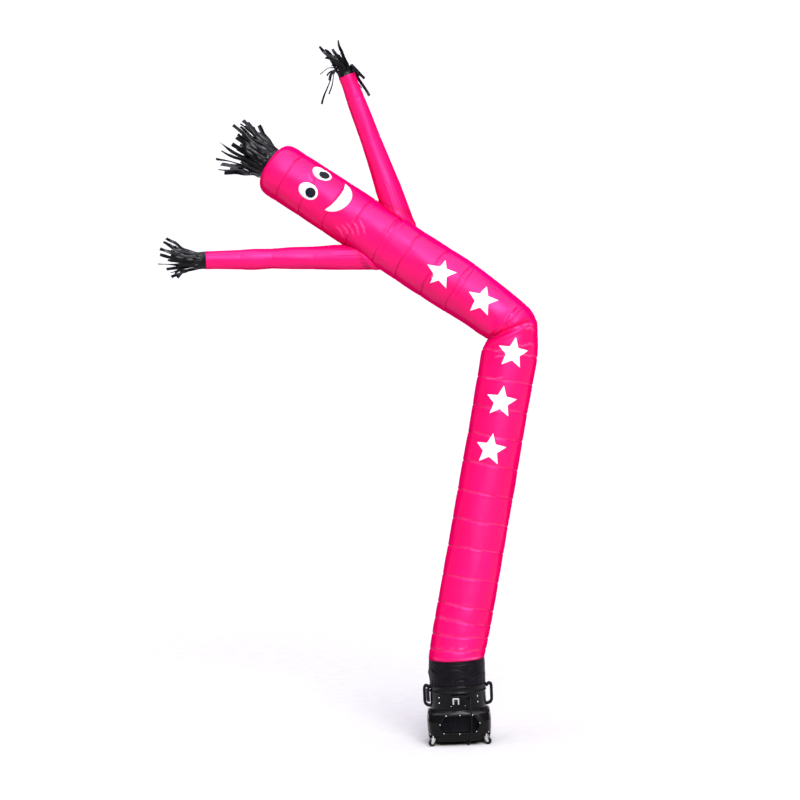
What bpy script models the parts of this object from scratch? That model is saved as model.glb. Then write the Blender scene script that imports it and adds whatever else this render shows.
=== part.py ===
"""Inflatable air dancer on its blower.

A single-leg tube figure of thin coated cloth, kinked at mid height, with two tapered sleeves and
strip fringes for hair and hands, fitted over the outlet collar of a floor blower on four
swivel casters. Metres, +Z up. Every piece is placed from an empty on the blower's centre line.

Three sets of directions are used. The blower is upright. The dancer bends in a plane that leans
back, so its tables give x (right), h (up along that plane) and t (away from the viewer). The
sewn-on shapes are laid out along and around the tube.
"""
import math

import bmesh
import bpy
import numpy as np
from mathutils import Vector
from mathutils.bvhtree import BVHTree

# Driving sizes.
BLOWER_X = 0.7773            # blower centre line from the middle of the part's box
BLOWER_Y = -0.5869
PLANE_LEAN = math.radians(8.0)

CLOTH = 0.002               # coated cloth wall
GAP = 0.0004                # parting between neighbouring pieces
TUBE_R = 0.2297             # inflated leg and torso
AROUND = 28                 # facets round the tube
SEAM_Z = 0.7005             # where the coloured leg starts above the dark band
CHORD_SAG = 0.0022          # how far a sleeve's root edge dips between its corners
CREASE_IN = 0.0035          # drawn-in depth of a sewn panel line
PANEL_OUT = 0.0025          # bulge between two panel lines

NECK_R = 0.2325             # blower's round upper part
COLLAR_R = 0.2255           # outlet ring inside the band
BEAD = 0.006
LEDGE_Z = 0.282
FLOOR_GAP = 0.035           # housing's underside above the floor
NECK_SIDES = 36

WHEEL_R = 0.029
WHEEL_W = 0.020
WHEEL_SIDES = 16
HUB_R = 0.007
TRAIL = 0.014               # wheel axle behind the swivel axis
STEM_R = 0.0080
SWIVEL_X = 0.2194
SWIVEL_Y = 0.2025
POCKET_R = 0.0585
POCKET_Z = 0.088            # roof of each caster pocket

CORD_R = 0.0045
COIL_R = 0.048              # mid-turn radius of the wound cord

# Colours (linear).
PINK = (1.0, 0.012, 0.22)
DARK_CLOTH = (0.012, 0.012, 0.014)
WHITE_CLOTH = (0.86, 0.86, 0.86)
PUPIL = (0.01, 0.01, 0.012)
CASE = (0.012, 0.012, 0.013)
STEEL = (0.62, 0.62, 0.60)
BEZEL = (0.62, 0.63, 0.64)


def unit(v):
    v = np.asarray(v, dtype=float)
    return v / np.linalg.norm(v)


def lean(p):
    """A point or a grid of points (x, h, t) of the leaning plane, as upright x, y, z."""
    p = np.asarray(p, dtype=float)
    s, c = math.sin(PLANE_LEAN), math.cos(PLANE_LEAN)
    return np.stack([p[..., 0], p[..., 1] * s + p[..., 2] * c, p[..., 1] * c - p[..., 2] * s], axis=-1)


def unlean(v):
    """An upright x, y, z direction or point as (x, h, t)."""
    v = np.asarray(v, dtype=float)
    s, c = math.sin(PLANE_LEAN), math.cos(PLANE_LEAN)
    return np.stack([v[..., 0], v[..., 1] * s + v[..., 2] * c, v[..., 1] * c - v[..., 2] * s], axis=-1)


# Scene helpers.
def clear():
    for ob in list(bpy.data.objects):
        bpy.data.objects.remove(ob, do_unlink=True)


def material(name, colour, rough, metal=0.0):
    mat = bpy.data.materials.new(name)
    mat.use_nodes = True
    bsdf = mat.node_tree.nodes["Principled BSDF"]
    bsdf.inputs["Base Color"].default_value = (*colour, 1.0)
    bsdf.inputs["Roughness"].default_value = rough
    bsdf.inputs["Metallic"].default_value = metal
    mat.diffuse_color = (*colour, 1.0)
    return mat


def add(name, verts, faces, mat, parent, location=(0, 0, 0)):
    mesh = bpy.data.meshes.new(name)
    mesh.from_pydata([tuple(map(float, v)) for v in verts], [], [tuple(map(int, f)) for f in faces])
    bm = bmesh.new()
    bm.from_mesh(mesh)
    bmesh.ops.recalc_face_normals(bm, faces=bm.faces)
    bm.to_mesh(mesh)
    bm.free()
    ob = bpy.data.objects.new(name, mesh)
    bpy.context.collection.objects.link(ob)
    ob.data.materials.append(mat)
    ob.parent = parent
    ob.location = location
    return ob


def empty(name, location, parent=None):
    ob = bpy.data.objects.new(name, None)
    bpy.context.collection.objects.link(ob)
    ob.location = location
    ob.parent = parent
    return ob


def cut(ob, cutter, operation="DIFFERENCE"):
    mod = ob.modifiers.new("cut_" + cutter.name, "BOOLEAN")
    mod.operation = operation
    mod.solver = "EXACT"
    mod.object = cutter
    cutter.hide_render = True
    cutter.display_type = "WIRE"


def surface(ob):
    """Search tree of an unmodified object's surface, in its parent's frame."""
    return BVHTree.FromPolygons([v.co.copy() for v in ob.data.vertices],
                                [tuple(p.vertices) for p in ob.data.polygons])


def edge_points(ob):
    """Points along every edge of an object, for measuring gaps."""
    verts = [np.array(v.co) for v in ob.data.vertices]
    points = []
    for edge in ob.data.edges:
        a, b = (verts[v] for v in edge.vertices)
        points += [a + (b - a) * (k / 30) for k in range(30)]
    return np.array(points)


def meet(points, direction, tree, gap, flare=0.0):
    """Each point moved along a direction until it is a gap short of the surface."""
    middle = np.mean(points, axis=0)
    reach = np.linalg.norm(points[0] - middle)
    found = []
    for p in points:
        d = Vector(unit(unit(direction) + flare * (p - middle) / reach))
        hit, normal, _, _ = tree.ray_cast(Vector(p), d)
        back = gap / max(0.3, abs(normal.dot(d)))
        found.append(np.array(hit) - back * np.array(d))
    return np.array(found)


# Solid builders.
def band_faces(rings, n, closed):
    faces = []
    for i in range(rings if closed else rings - 1):
        a, b = i * n, ((i + 1) % rings) * n
        for j in range(n):
            k = (j + 1) % n
            faces.append((a + j, a + k, b + k, b + j))
    return faces


def halves(faces):
    """Four-sided faces split in two, so that curved ones have only one shape."""
    split = []
    for face in faces:
        split.append(face[:3])
        if len(face) == 4:
            split.append((face[0], face[2], face[3]))
    return split


def outward(grid):
    """Unit normals of a grid of rings, pointing away from the ring centres."""
    along = np.gradient(grid, axis=0)
    around = np.roll(grid, -1, axis=1) - np.roll(grid, 1, axis=1)
    normal = np.cross(along, around)
    normal /= np.linalg.norm(normal, axis=2, keepdims=True)
    middle = grid[len(grid) // 2]
    spoke = middle - middle.mean(axis=0)
    if np.sum(normal[len(grid) // 2] * spoke) < 0:
        normal = -normal
    return normal


def wall(name, grid, thickness, mat, parent, ends=(None, None)):
    """A cloth wall: the outer grid of rings and its inner copy, joined at both rims.

    ends gives (direction, tree, flare) for a rim that is trimmed to another piece's surface.
    """
    inner = grid - thickness * outward(grid)
    outer = grid.copy()
    for row, end in ((0, ends[0]), (-1, ends[1])):
        if end:
            for side in (outer, inner):
                side[row] = meet(side[row], end[0], end[1], GAP + CHORD_SAG, end[2])
    rings = np.concatenate([outer, inner[::-1]])
    n = grid.shape[1]
    return add(name, rings.reshape(-1, 3), halves(band_faces(len(rings), n, True)), mat, parent)


def loft(name, grid, mat, parent, location=(0, 0, 0)):
    """A solid through rings, closed by a flat face at each end."""
    grid = np.asarray(grid, dtype=float)
    n = grid.shape[1]
    faces = band_faces(len(grid), n, False)
    faces.append(tuple(reversed(range(n))))
    faces.append(tuple((len(grid) - 1) * n + j for j in range(n)))
    return add(name, grid.reshape(-1, 3), faces, mat, parent, location)


def circle(n, radius, start=0.0):
    a = start + np.arange(n) * 2 * math.pi / n
    return radius * np.cos(a), radius * np.sin(a)


def turned(name, rows, n, axis, mat, parent, location=(0, 0, 0), start=0.0):
    """A solid of revolution from rows of (distance along the axis, radius)."""
    axis = unit(axis)
    side = unit(np.cross(axis, (0.0, 0.0, 1.0) if abs(axis[2]) < 0.9 else (1.0, 0.0, 0.0)))
    up = np.cross(axis, side)
    grid = []
    for along, radius in rows:
        c, s = circle(n, radius, start)
        grid.append([along * axis + c[j] * side + s[j] * up for j in range(n)])
    return loft(name, grid, mat, parent, location)


def prism(name, outline, y0, y1, mat, parent, location=(0, 0, 0)):
    """A flat shape given as (x, z) points, between two depths."""
    grid = [[(x, y, z) for x, z in outline] for y in (y0, y1)]
    return loft(name, grid, mat, parent, location)


# The dancer's tube.
SEAM = unlean((0.0, 0.0, SEAM_Z))
KNEE = np.array((0.5986, 3.4287, SEAM[2]))          # where the two straight axes cross
LEG = unit(KNEE - SEAM)
TORSO = unit((-0.7926, 0.5693, 0.2181))
TORSO_LENGTH = 2.478
LEG_SIDE = unit((LEG[1], -LEG[0], 0.0))             # towards the outside of the kink
TORSO_SIDE = unit((-TORSO[1], TORSO[0], 0.0)) * -1.0
LEG_BACK = np.array((0.0, 0.0, 1.0))
TORSO_BACK = unit(np.cross(TORSO_SIDE, TORSO))
if TORSO_BACK[2] < 0:
    TORSO_BACK = -TORSO_BACK

# distances of the panel lines from the seam, up the leg
LEG_LINES = (0.076, 0.185, 0.303, 0.429, 0.664, 0.908, 1.135, 1.370, 1.614, 1.854, 2.085, 2.325, 2.552)

# the kink, from the leg to the torso. columns: inner x, inner h, outer x, outer h, share of the
# turn, depth of the fold in front and behind, angle of the fold's middle from the inner corner
KINK = (
    (0.346, 3.279, 0.781, 3.229, 0.10, 0.000, 60),
    (0.356, 3.304, 0.783, 3.329, 0.30, 0.010, 60),
    (0.3585, 3.3145, 0.7775, 3.453, 0.50, 0.034, 66),
    (0.350, 3.323, 0.733, 3.540, 0.62, 0.004, 70),
    (0.319, 3.345, 0.662, 3.614, 0.74, 0.012, 84),
    (0.290, 3.364, 0.567, 3.700, 0.86, 0.004, 90),
    (0.198, 3.438, 0.457, 3.795, 0.95, 0.000, 90),
)

# distances of the panel lines from the knee, up the torso
TORSO_LINES = (0.551, 0.798, 1.061, 1.289, 1.567, 1.807, 2.045, 2.274)

# the crown: distance back from the end plane, share of the tube's radius
CROWN = ((0.115, 1.0), (0.066, 0.975), (0.034, 0.915), (0.013, 0.82), (0.003, 0.69), (0.0, 0.525))


def leg_ring(s):
    w = min(1.0, s / 0.35)
    side = unit((1 - w) * np.array((1.0, 0.0, 0.0)) + w * LEG_SIDE)
    back = unit((1 - w) * unlean((0.0, 1.0, 0.0)) + w * LEG_BACK)
    return SEAM + LEG * s, side * TUBE_R, back * TUBE_R


def torso_ring(s):
    return KNEE + TORSO * s, TORSO_SIDE * TUBE_R, TORSO_BACK * TUBE_R


def kink_ring(row):
    inner, outer = np.array((row[0], row[1], 0.0)), np.array((row[2], row[3], 0.0))
    side = (outer - inner) / 2
    centre = (outer + inner) / 2
    past = max(0.0, float(np.dot(centre[:2] - KNEE[:2], unit(TORSO[:2]))))
    centre[2] = KNEE[2] + past * TORSO[2] / math.hypot(TORSO[0], TORSO[1])
    back = (1 - row[4]) * LEG_BACK + row[4] * TORSO_BACK
    back -= unit(side) * np.dot(back, unit(side))
    return centre, side, unit(back) * TUBE_R * 1.02


def tube_ring(centre, side, back, swell=0.0, fold=0.0, fold_at=60, phase=0.0):
    """Ring points, from the inner corner over the front. swell moves all, fold draws in a side."""
    points = []
    for j in range(AROUND):
        a = 2 * math.pi * j / AROUND
        off = math.degrees(math.acos(math.cos(a))) - fold_at
        inset = fold * math.exp(-(off / 48.0) ** 2)
        uneven = 0.0012 * math.sin(3 * a + 2.1 * phase) + 0.0008 * math.sin(5 * a - 1.3 * phase)
        k = 1 + (swell + uneven - inset) / TUBE_R
        points.append(centre - side * math.cos(a) * k - back * math.sin(a) * k)
    return points


def tube_grid():
    rings = []
    place = [0.0] + list(LEG_LINES)
    for i, s in enumerate(place):
        pinch = 0.0 if i == 0 else -CREASE_IN
        rings.append(tube_ring(*leg_ring(s), swell=pinch, phase=i))
        if i + 1 < len(place):
            rings.append(tube_ring(*leg_ring((s + place[i + 1]) / 2), swell=PANEL_OUT, phase=i + 0.5))
    for i, row in enumerate(KINK):
        rings.append(tube_ring(*kink_ring(row), fold=row[5], fold_at=row[6], phase=14 + i))
    place = list(TORSO_LINES) + [TORSO_LENGTH - CROWN[0][0]]
    for i, s in enumerate(place[:-1]):
        rings.append(tube_ring(*torso_ring(s), swell=-CREASE_IN, phase=21 + i))
        rings.append(tube_ring(*torso_ring((s + place[i + 1]) / 2), swell=PANEL_OUT, phase=21.5 + i))
    for back_off, share in CROWN:
        centre, side, back = torso_ring(TORSO_LENGTH - back_off)
        rings.append(tube_ring(centre, side * share, back * share, phase=30))
    return lean(np.array(rings))


def sleeve(name, rows, toward, flare, tree, mat, parent, n=20):
    """A tapered sleeve. rows: x, h, t, radius from the root to the wrist."""
    rows = np.array(rows)
    centres = rows[:, :3]
    tangents = np.gradient(centres, axis=0)
    grid = []
    for i, (c, t) in enumerate(zip(centres, tangents)):
        t = unit(t)
        side = unit(np.array((t[1], -t[0], 0.0)))
        back = np.array((0.0, 0.0, 1.0))
        r = rows[i, 3] * (0.985 if i % 2 else 1.0)
        ring = []
        for j in range(n):
            a = 2 * math.pi * j / n
            k = r + 0.0012 * math.sin(4 * a + 1.7 * i)
            ring.append(c + k * (math.cos(a) * side + math.sin(a) * back))
        grid.append(ring)
    grid = lean(np.array(grid))
    return wall(name, grid, CLOTH, mat, parent, ends=((lean(np.array(toward)), tree, flare), None))


# sleeve held level. columns: x, h, t, radius
LEVEL_SLEEVE = (
    (-0.815, 4.045, 0.196, 0.1040),
    (-0.885, 4.047, 0.196, 0.1035),
    (-0.970, 4.048, 0.196, 0.0985),
    (-1.050, 4.050, 0.196, 0.0950),
    (-1.220, 4.054, 0.196, 0.0920),
    (-1.390, 4.057, 0.196, 0.0840),
    (-1.565, 4.060, 0.196, 0.0870),
    (-1.650, 4.062, 0.196, 0.0820),
    (-1.730, 4.064, 0.196, 0.0790),
    (-1.900, 4.067, 0.196, 0.0750),
    (-1.938, 4.067, 0.196, 0.0745),
)

# sleeve held up. columns: x, h, t, radius
RAISED_SLEEVE = (
    (-0.404, 4.604, 0.205, 0.1070),
    (-0.440, 4.724, 0.205, 0.0990),
    (-0.477, 4.843, 0.205, 0.0925),
    (-0.529, 5.001, 0.205, 0.0850),
    (-0.605, 5.238, 0.205, 0.0800),
    (-0.643, 5.357, 0.205, 0.0760),
    (-0.680, 5.476, 0.205, 0.0700),
    (-0.707, 5.552, 0.205, 0.0710),
)

# Strip fringes.
# columns: root angle, strip's end along the cuff's axis, across (up the plane), back, first lead.
# Angles run from across towards back.
HAIR = (
    (0, 0.285, 0.215, 0.030, 0.08),
    (20, 0.397, 0.185, 0.095, 0.14),
    (40, 0.340, 0.150, 0.150, 0.12),
    (60, 0.400, 0.085, 0.200, 0.14),
    (80, 0.330, 0.035, 0.215, 0.12),
    (100, 0.360, -0.040, 0.220, 0.13),
    (120, 0.400, -0.110, 0.190, 0.14),
    (140, 0.330, -0.170, 0.150, 0.11),
    (160, 0.385, -0.225, 0.090, 0.10),
    (180, 0.304, -0.262, 0.010, 0.05),
    (200, 0.340, -0.268, -0.080, 0.06),
    (220, 0.394, -0.205, -0.130, 0.11),
    (240, 0.439, -0.090, -0.180, 0.16),
    (260, 0.336, -0.032, -0.175, 0.13),
    (280, 0.334, 0.028, -0.190, 0.11),
    (300, 0.416, 0.105, -0.180, 0.16),
    (320, 0.380, 0.150, -0.140, 0.12),
    (340, 0.397, 0.185, -0.060, 0.13),
)
LEVEL_HAND = (
    (0, 0.317, 0.203, 0.005, 0.10),
    (30, 0.300, 0.150, 0.090, 0.09),
    (60, 0.330, 0.095, 0.120, 0.10),
    (90, 0.300, 0.010, 0.150, 0.09),
    (120, 0.330, -0.060, 0.120, 0.10),
    (150, 0.250, -0.125, 0.080, 0.09),
    (180, 0.289, -0.132, 0.000, 0.12),
    (210, 0.300, -0.085, -0.070, 0.11),
    (240, 0.397, -0.010, -0.090, 0.13),
    (270, 0.378, 0.060, -0.110, 0.13),
    (300, 0.373, 0.112, -0.100, 0.13),
    (330, 0.350, 0.160, -0.060, 0.12),
)
RAISED_HAND = (
    (0, -0.230, 0.104, 0.010, 0.05),
    (30, -0.080, 0.125, 0.110, 0.06),
    (60, 0.200, 0.020, 0.150, 0.09),
    (90, 0.250, -0.030, 0.150, 0.11),
    (120, 0.270, -0.090, 0.130, 0.12),
    (150, 0.304, -0.125, 0.060, 0.15),
    (180, -0.150, -0.275, -0.010, 0.09),
    (210, 0.010, -0.150, -0.100, 0.07),
    (240, 0.094, -0.205, -0.150, 0.08),
    (270, 0.190, -0.110, -0.170, 0.09),
    (300, 0.294, 0.035, -0.110, 0.14),
    (330, -0.020, 0.100, -0.130, 0.06),
)
STRIP_T = 0.0022
STRIP_STEPS = 5
TWIST = math.radians(65.0)     # turn of a strip that starts edge-on


def fringe(name, centre, axis, across, radius, cuff, rows, mat, parent):
    """A short cuff of cloth whose far edge runs out into flat strips."""
    axis = unit(axis)
    across = unit(across - axis * np.dot(across, axis))
    back = np.cross(axis, across)
    if back[2] < 0:
        back = -back
    share = 0.42                                      # strip's half width, as a share of its pitch
    pitch = 2 * math.pi / len(rows)
    angles = []
    for row in rows:
        mid = math.radians(row[0])
        angles += [mid - share * pitch, mid + share * pitch]

    def ring(r, along):
        return [centre + axis * along + r * (math.cos(a) * across + math.sin(a) * back) for a in angles]

    n = len(angles)
    outer, inner = radius, radius - 2 * STRIP_T
    verts = ring(outer, 0.0) + ring(outer, cuff) + ring(inner, cuff) + ring(inner, 0.0)
    faces = []
    for j in range(n):
        k = (j + 1) % n
        for level in range(4):
            if level == 1 and j % 2 == 0:
                continue                              # a strip grows from this part of the edge
            a, b = level * n, ((level + 1) % 4) * n
            faces.append((a + j, a + k, b + k, b + j))
    for i, row in enumerate(rows):
        j, k = 2 * i, 2 * i + 1
        loop = [n + j, n + k, 2 * n + k, 2 * n + j]
        corner = [np.array(verts[v]) for v in loop]
        root = sum(corner) / 4
        a = math.radians(row[0])
        wide = unit(-math.sin(a) * across + math.cos(a) * back)
        half_w = np.linalg.norm(corner[1] - corner[0]) / 2
        end = centre + axis * row[1] + across * row[2] + back * row[3]
        twist = TWIST * math.cos(a) ** 2
        bend = root + axis * row[4]
        last = loop
        for step in range(1, STRIP_STEPS + 1):
            u = step / STRIP_STEPS
            p = (1 - u) ** 2 * root + 2 * u * (1 - u) * bend + u * u * end
            tangent = unit((1 - u) * (bend - root) + u * (end - bend))
            wide = unit(wide - tangent * np.dot(wide, tangent))
            thin = np.cross(wide, tangent)
            if step == 1 and np.dot(thin, math.cos(a) * across + math.sin(a) * back) < 0:
                flip = -1.0
            elif step == 1:
                flip = 1.0
            thin = thin * flip
            flat = wide * math.cos(twist * u) + thin * math.sin(twist * u)
            edge = thin * math.cos(twist * u) - wide * math.sin(twist * u)
            w = half_w * (1.0 - 0.25 * u)
            size = len(verts)
            verts += [p - flat * w + edge * STRIP_T, p + flat * w + edge * STRIP_T,
                      p + flat * w - edge * STRIP_T, p - flat * w - edge * STRIP_T]
            new = [size, size + 1, size + 2, size + 3]
            for m in range(4):
                q = (m + 1) % 4
                faces.append((last[m], last[q], new[q], new[m]))
            last = new
        faces.append(tuple(last))
    return add(name, lean(np.array(verts)), faces, mat, parent)


# Sewn-on shapes.
PATCH_T = 0.0010
PATCH_LIFT = 0.0040         # first height over the facet edges, before it is settled
PATCH_GAP = 0.0004


def patch(name, outline, frame, tree, under, mat, parent, steps=3):
    """A thin shape that follows the tube and lies on what is under it. outline is (along, around)."""
    point, direction = frame
    outline = np.array(outline, dtype=float)
    middle = outline.mean(axis=0)
    rows = [middle + (outline - middle) * (i / steps) for i in range(1, steps + 1)]
    n = len(outline)
    top, low, outs = [], [], []
    for along, around in [tuple(middle)] + [tuple(p) for row in rows for p in row]:
        hit, normal = drop(point(along), direction, around, tree)
        low.append(hit + normal * PATCH_LIFT)
        top.append(hit + normal * (PATCH_LIFT + PATCH_T))
        outs.append(normal)
    count = len(top)
    faces = []
    for layer in (0, count):
        for j in range(n):
            k = (j + 1) % n
            faces.append((layer, layer + 1 + j, layer + 1 + k))
            for i in range(steps - 1):
                a, b = layer + 1 + i * n, layer + 1 + (i + 1) * n
                faces.append((a + j, a + k, b + k, b + j))
    a, b = 1 + (steps - 1) * n, count + 1 + (steps - 1) * n
    for j in range(n):
        k = (j + 1) % n
        faces.append((a + j, a + k, b + k, b + j))
    return settle(add(name, top + low, halves(faces), mat, parent), outs * 2, under)


def samples(verts, faces):
    """Corners, edge points and middles of faces."""
    points = []
    for face in faces:
        ring = [verts[v] for v in face]
        points.append(sum(ring) / len(ring))
        for a, b in zip(ring, ring[1:] + ring[:1]):
            points += [a + (b - a) * (k / 16) for k in range(16)]
    return points


def settle(ob, outs, under):
    """Move a thin shape in along its outward directions until it lies a gap over what is under it."""
    tree, seat = surface(under), edge_points(under)
    faces = [tuple(f.vertices) for f in ob.data.polygons]
    for _ in range(4):
        verts = [np.array(v.co) for v in ob.data.vertices]
        own = BVHTree.FromPolygons([Vector(v) for v in verts], faces)
        near = min(tree.find_nearest(Vector(p))[3] for p in samples(verts, faces))
        middle = sum(verts) / len(verts)
        reach = max(np.linalg.norm(v - middle) for v in verts) + 0.02
        close = seat[np.linalg.norm(seat - middle, axis=1) < reach]
        near = min([near] + [own.find_nearest(Vector(p))[3] for p in close])
        for v, out in zip(ob.data.vertices, outs):
            v.co = v.co - Vector(out * 0.85 * (near - PATCH_GAP))
    return ob


def drop(base, direction, around, tree):
    """A point over the tube's axis, as far out as the nearest facet edge, and its direction."""
    reach = 0.0
    for k in range(-3, 4):
        d = Vector(direction(around + k * math.pi * TUBE_R / AROUND / 3))
        hit, _, _, dist = tree.ray_cast(Vector(base) + 0.8 * d, -d)
        reach = max(reach, 0.8 - dist)
    out = unit(direction(around))
    return np.array(base) + out * reach, out


def leg_frame(s0, side0):
    def point(u):
        return lean(SEAM + LEG * (s0 + u))

    def direction(v):
        a = (side0 + v) / TUBE_R
        return lean(-LEG_BACK * math.cos(a) + LEG_SIDE * math.sin(a))
    return point, direction


def torso_frame(s0, side0):
    def point(u):
        return lean(KNEE + TORSO * (s0 + u))

    def direction(v):
        a = (side0 + v) / TUBE_R
        return lean(-TORSO_BACK * math.cos(a) + TORSO_SIDE * math.sin(a))
    return point, direction


def oval(along, around, n=18):
    return [(along / 2 * math.cos(2 * math.pi * j / n), around / 2 * math.sin(2 * math.pi * j / n))
            for j in range(n)]


def star(radius, n=5, waist=0.45):
    points = []
    for j in range(2 * n):
        a = math.pi * j / n
        r = radius if j % 2 == 0 else radius * waist
        points.append((r * math.cos(a), r * math.sin(a)))
    doubled = []
    for j, p in enumerate(points):
        q = points[(j + 1) % len(points)]
        doubled += [p, ((p[0] + q[0]) / 2, (p[1] + q[1]) / 2)]
    return doubled


def smile(name, tree, under, mat, parent, columns=16):
    """A crescent with its tips towards the crown."""
    tip, deep, shallow = TORSO_LENGTH - 0.648, 0.133, 0.041
    first, last = math.radians(-17.7) * TUBE_R, math.radians(60.4) * TUBE_R
    mid, half = (first + last) / 2, (last - first) / 2
    point, direction = torso_frame(tip, mid)
    top, low, outs = [], [], []
    for i in range(columns + 1):
        x = -1 + 2 * i / columns
        bow = 1 - x * x
        lower = -deep * max(bow, 0.0) ** 0.62 - 0.004
        upper = -shallow * bow + 0.004
        for m in range(3):
            along = upper + (lower - upper) * m / 2
            hit, normal = drop(point(along), direction, x * half, tree)
            low.append(hit + normal * PATCH_LIFT)
            top.append(hit + normal * (PATCH_LIFT + PATCH_T))
            outs.append(normal)
    count = len(top)
    faces = []
    for layer in (0, count):
        for i in range(columns):
            for m in range(2):
                a, b = layer + 3 * i + m, layer + 3 * (i + 1) + m
                faces.append((a, a + 1, b + 1, b))
    edge = [3 * i for i in range(columns + 1)] + [3 * columns + 1]
    edge += [3 * i + 2 for i in reversed(range(columns + 1))] + [1]
    for j, a in enumerate(edge):
        b = edge[(j + 1) % len(edge)]
        faces.append((a, b, b + count, a + count))
    return settle(add(name, top + low, halves(faces), mat, parent), outs * 2, under)


# columns: frame, distance, sideways shift
STARS = (
    ("torso", 0.712, 0.014),
    ("torso", 0.292, 0.014),
    ("leg", 2.560, 0.024),
    ("leg", 2.147, -0.004),
    ("leg", 1.744, -0.024),
)
STAR_R = 0.135

# Blower.
# columns: height, half width, half depth, corner exponent
HOUSING = (
    (FLOOR_GAP, 0.240, 0.228, 5.0),
    (0.045, 0.250, 0.238, 5.0),
    (0.120, 0.263, 0.248, 5.0),
    (0.200, 0.265, 0.250, 5.0),
    (LEDGE_Z - 0.020, 0.257, 0.243, 4.0),
    (LEDGE_Z, 0.240, 0.236, 2.4),
    (LEDGE_Z + 0.007, NECK_R, NECK_R, 2.0),
    (0.425, 0.2290, 0.2290, 2.0),
    (0.431, 0.2290 + BEAD, 0.2290 + BEAD, 2.0),
    (0.441, 0.2290 + BEAD, 0.2290 + BEAD, 2.0),
    (0.447, 0.2290, 0.2290, 2.0),
    (0.472, 0.2290, 0.2290, 2.0),
    (0.478, 0.2290 + BEAD, 0.2290 + BEAD, 2.0),
    (0.486, 0.2290 + BEAD, 0.2290 + BEAD, 2.0),
    (0.491, COLLAR_R, COLLAR_R, 2.0),
    (0.600, COLLAR_R, COLLAR_R, 2.0),
    (0.600, COLLAR_R - 0.010, COLLAR_R - 0.010, 2.0),
    (0.330, COLLAR_R - 0.020, COLLAR_R - 0.020, 2.0),
)
# the intake's outline, seen from the front. columns: x, z
INTAKE = ((-0.164, 0.160), (-0.126, 0.232), (-0.104, 0.247), (0.112, 0.247), (0.134, 0.233),
          (0.166, 0.178), (0.162, 0.156), (0.130, 0.116), (0.110, 0.106), (-0.118, 0.106))
INTAKE_SEAT_Y = -0.2380
INTAKE_FLOOR_Y = -0.1780


def housing_grid():
    grid = []
    for z, hx, hy, power in HOUSING:
        ring = []
        for j in range(NECK_SIDES):
            a = 2 * math.pi * j / NECK_SIDES
            c, s = math.cos(a), math.sin(a)
            x = hx * math.copysign(abs(c) ** (2 / power), c)
            y = hy * math.copysign(abs(s) ** (2 / power), s)
            ring.append((x, y, z))
        grid.append(ring)
    return grid


def neck_radius(z):
    """The neck tapers a little between the ledge and the lower bead."""
    low, high = HOUSING[6], HOUSING[7]
    return low[1] + (high[1] - low[1]) * (z - low[0]) / (high[0] - low[0])


def scaled(outline, grow):
    pts = np.array(outline)
    middle = pts.mean(axis=0)
    span = pts.max(axis=0) - pts.min(axis=0)
    return [tuple(p) for p in middle + (pts - middle) * (1 + 2 * grow / span)]


def ring_plate(name, outer, inner, y0, y1, mat, parent):
    """A flat frame between two outlines of the same number of points."""
    n = len(outer)
    grid = [[(x, y0, z) for x, z in outer], [(x, y1, z) for x, z in outer],
            [(x, y1, z) for x, z in inner], [(x, y0, z) for x, z in inner]]
    return add(name, np.array(grid).reshape(-1, 3), band_faces(4, n, True), mat, parent)


def screw(name, x, z, face_y, radius, mat, parent, turn=0.0):
    """A low round head standing off a face that looks to the front, or turned round the neck."""
    out = np.array((math.sin(turn), -math.cos(turn), 0.0))
    base = np.array((x, face_y, z)) + out * GAP
    return turned(name, ((0.0, radius), (0.0036, radius * 0.8)), 8, out, mat, parent,
                  tuple(base))


def handle(name, sign, tree, mat, parent):
    """A flat bail of square bar standing off the neck."""
    path = ((0.2405, 0.4660), (0.2480, 0.4735), (0.2560, 0.4785), (0.2640, 0.4790), (0.2720, 0.4720),
            (0.2765, 0.4560), (0.2765, 0.3520), (0.2720, 0.3340), (0.2620, 0.3210), (0.2480, 0.3140))
    pts = np.array([(sign * x, 0.0, z) for x, z in path])
    tangents = np.gradient(pts, axis=0)
    tangents[0] = tangents[-1] = (0, 0, 0)
    tangents[0, 0], tangents[-1, 0] = sign, -sign
    grid = []
    half_t, half_d = 0.0125, 0.019
    for p, t in zip(pts, tangents):
        out = unit(np.cross(unit(t), (0.0, 1.0, 0.0)))
        ring = [(half_t, -half_d + 0.004), (half_t, half_d - 0.004), (half_t - 0.003, half_d),
                (-half_t + 0.003, half_d), (-half_t, half_d - 0.004), (-half_t, -half_d + 0.004),
                (-half_t + 0.003, -half_d), (half_t - 0.003, -half_d)]
        grid.append([p + out * a + np.array((0.0, b, 0.0)) for a, b in ring])
    grid = np.array(grid)
    inward = (-sign, 0.0, 0.0)
    for row in (0, -1):
        grid[row] = meet(grid[row], inward, tree, GAP + 0.0015)
    return loft(name, grid, mat, parent)


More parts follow.
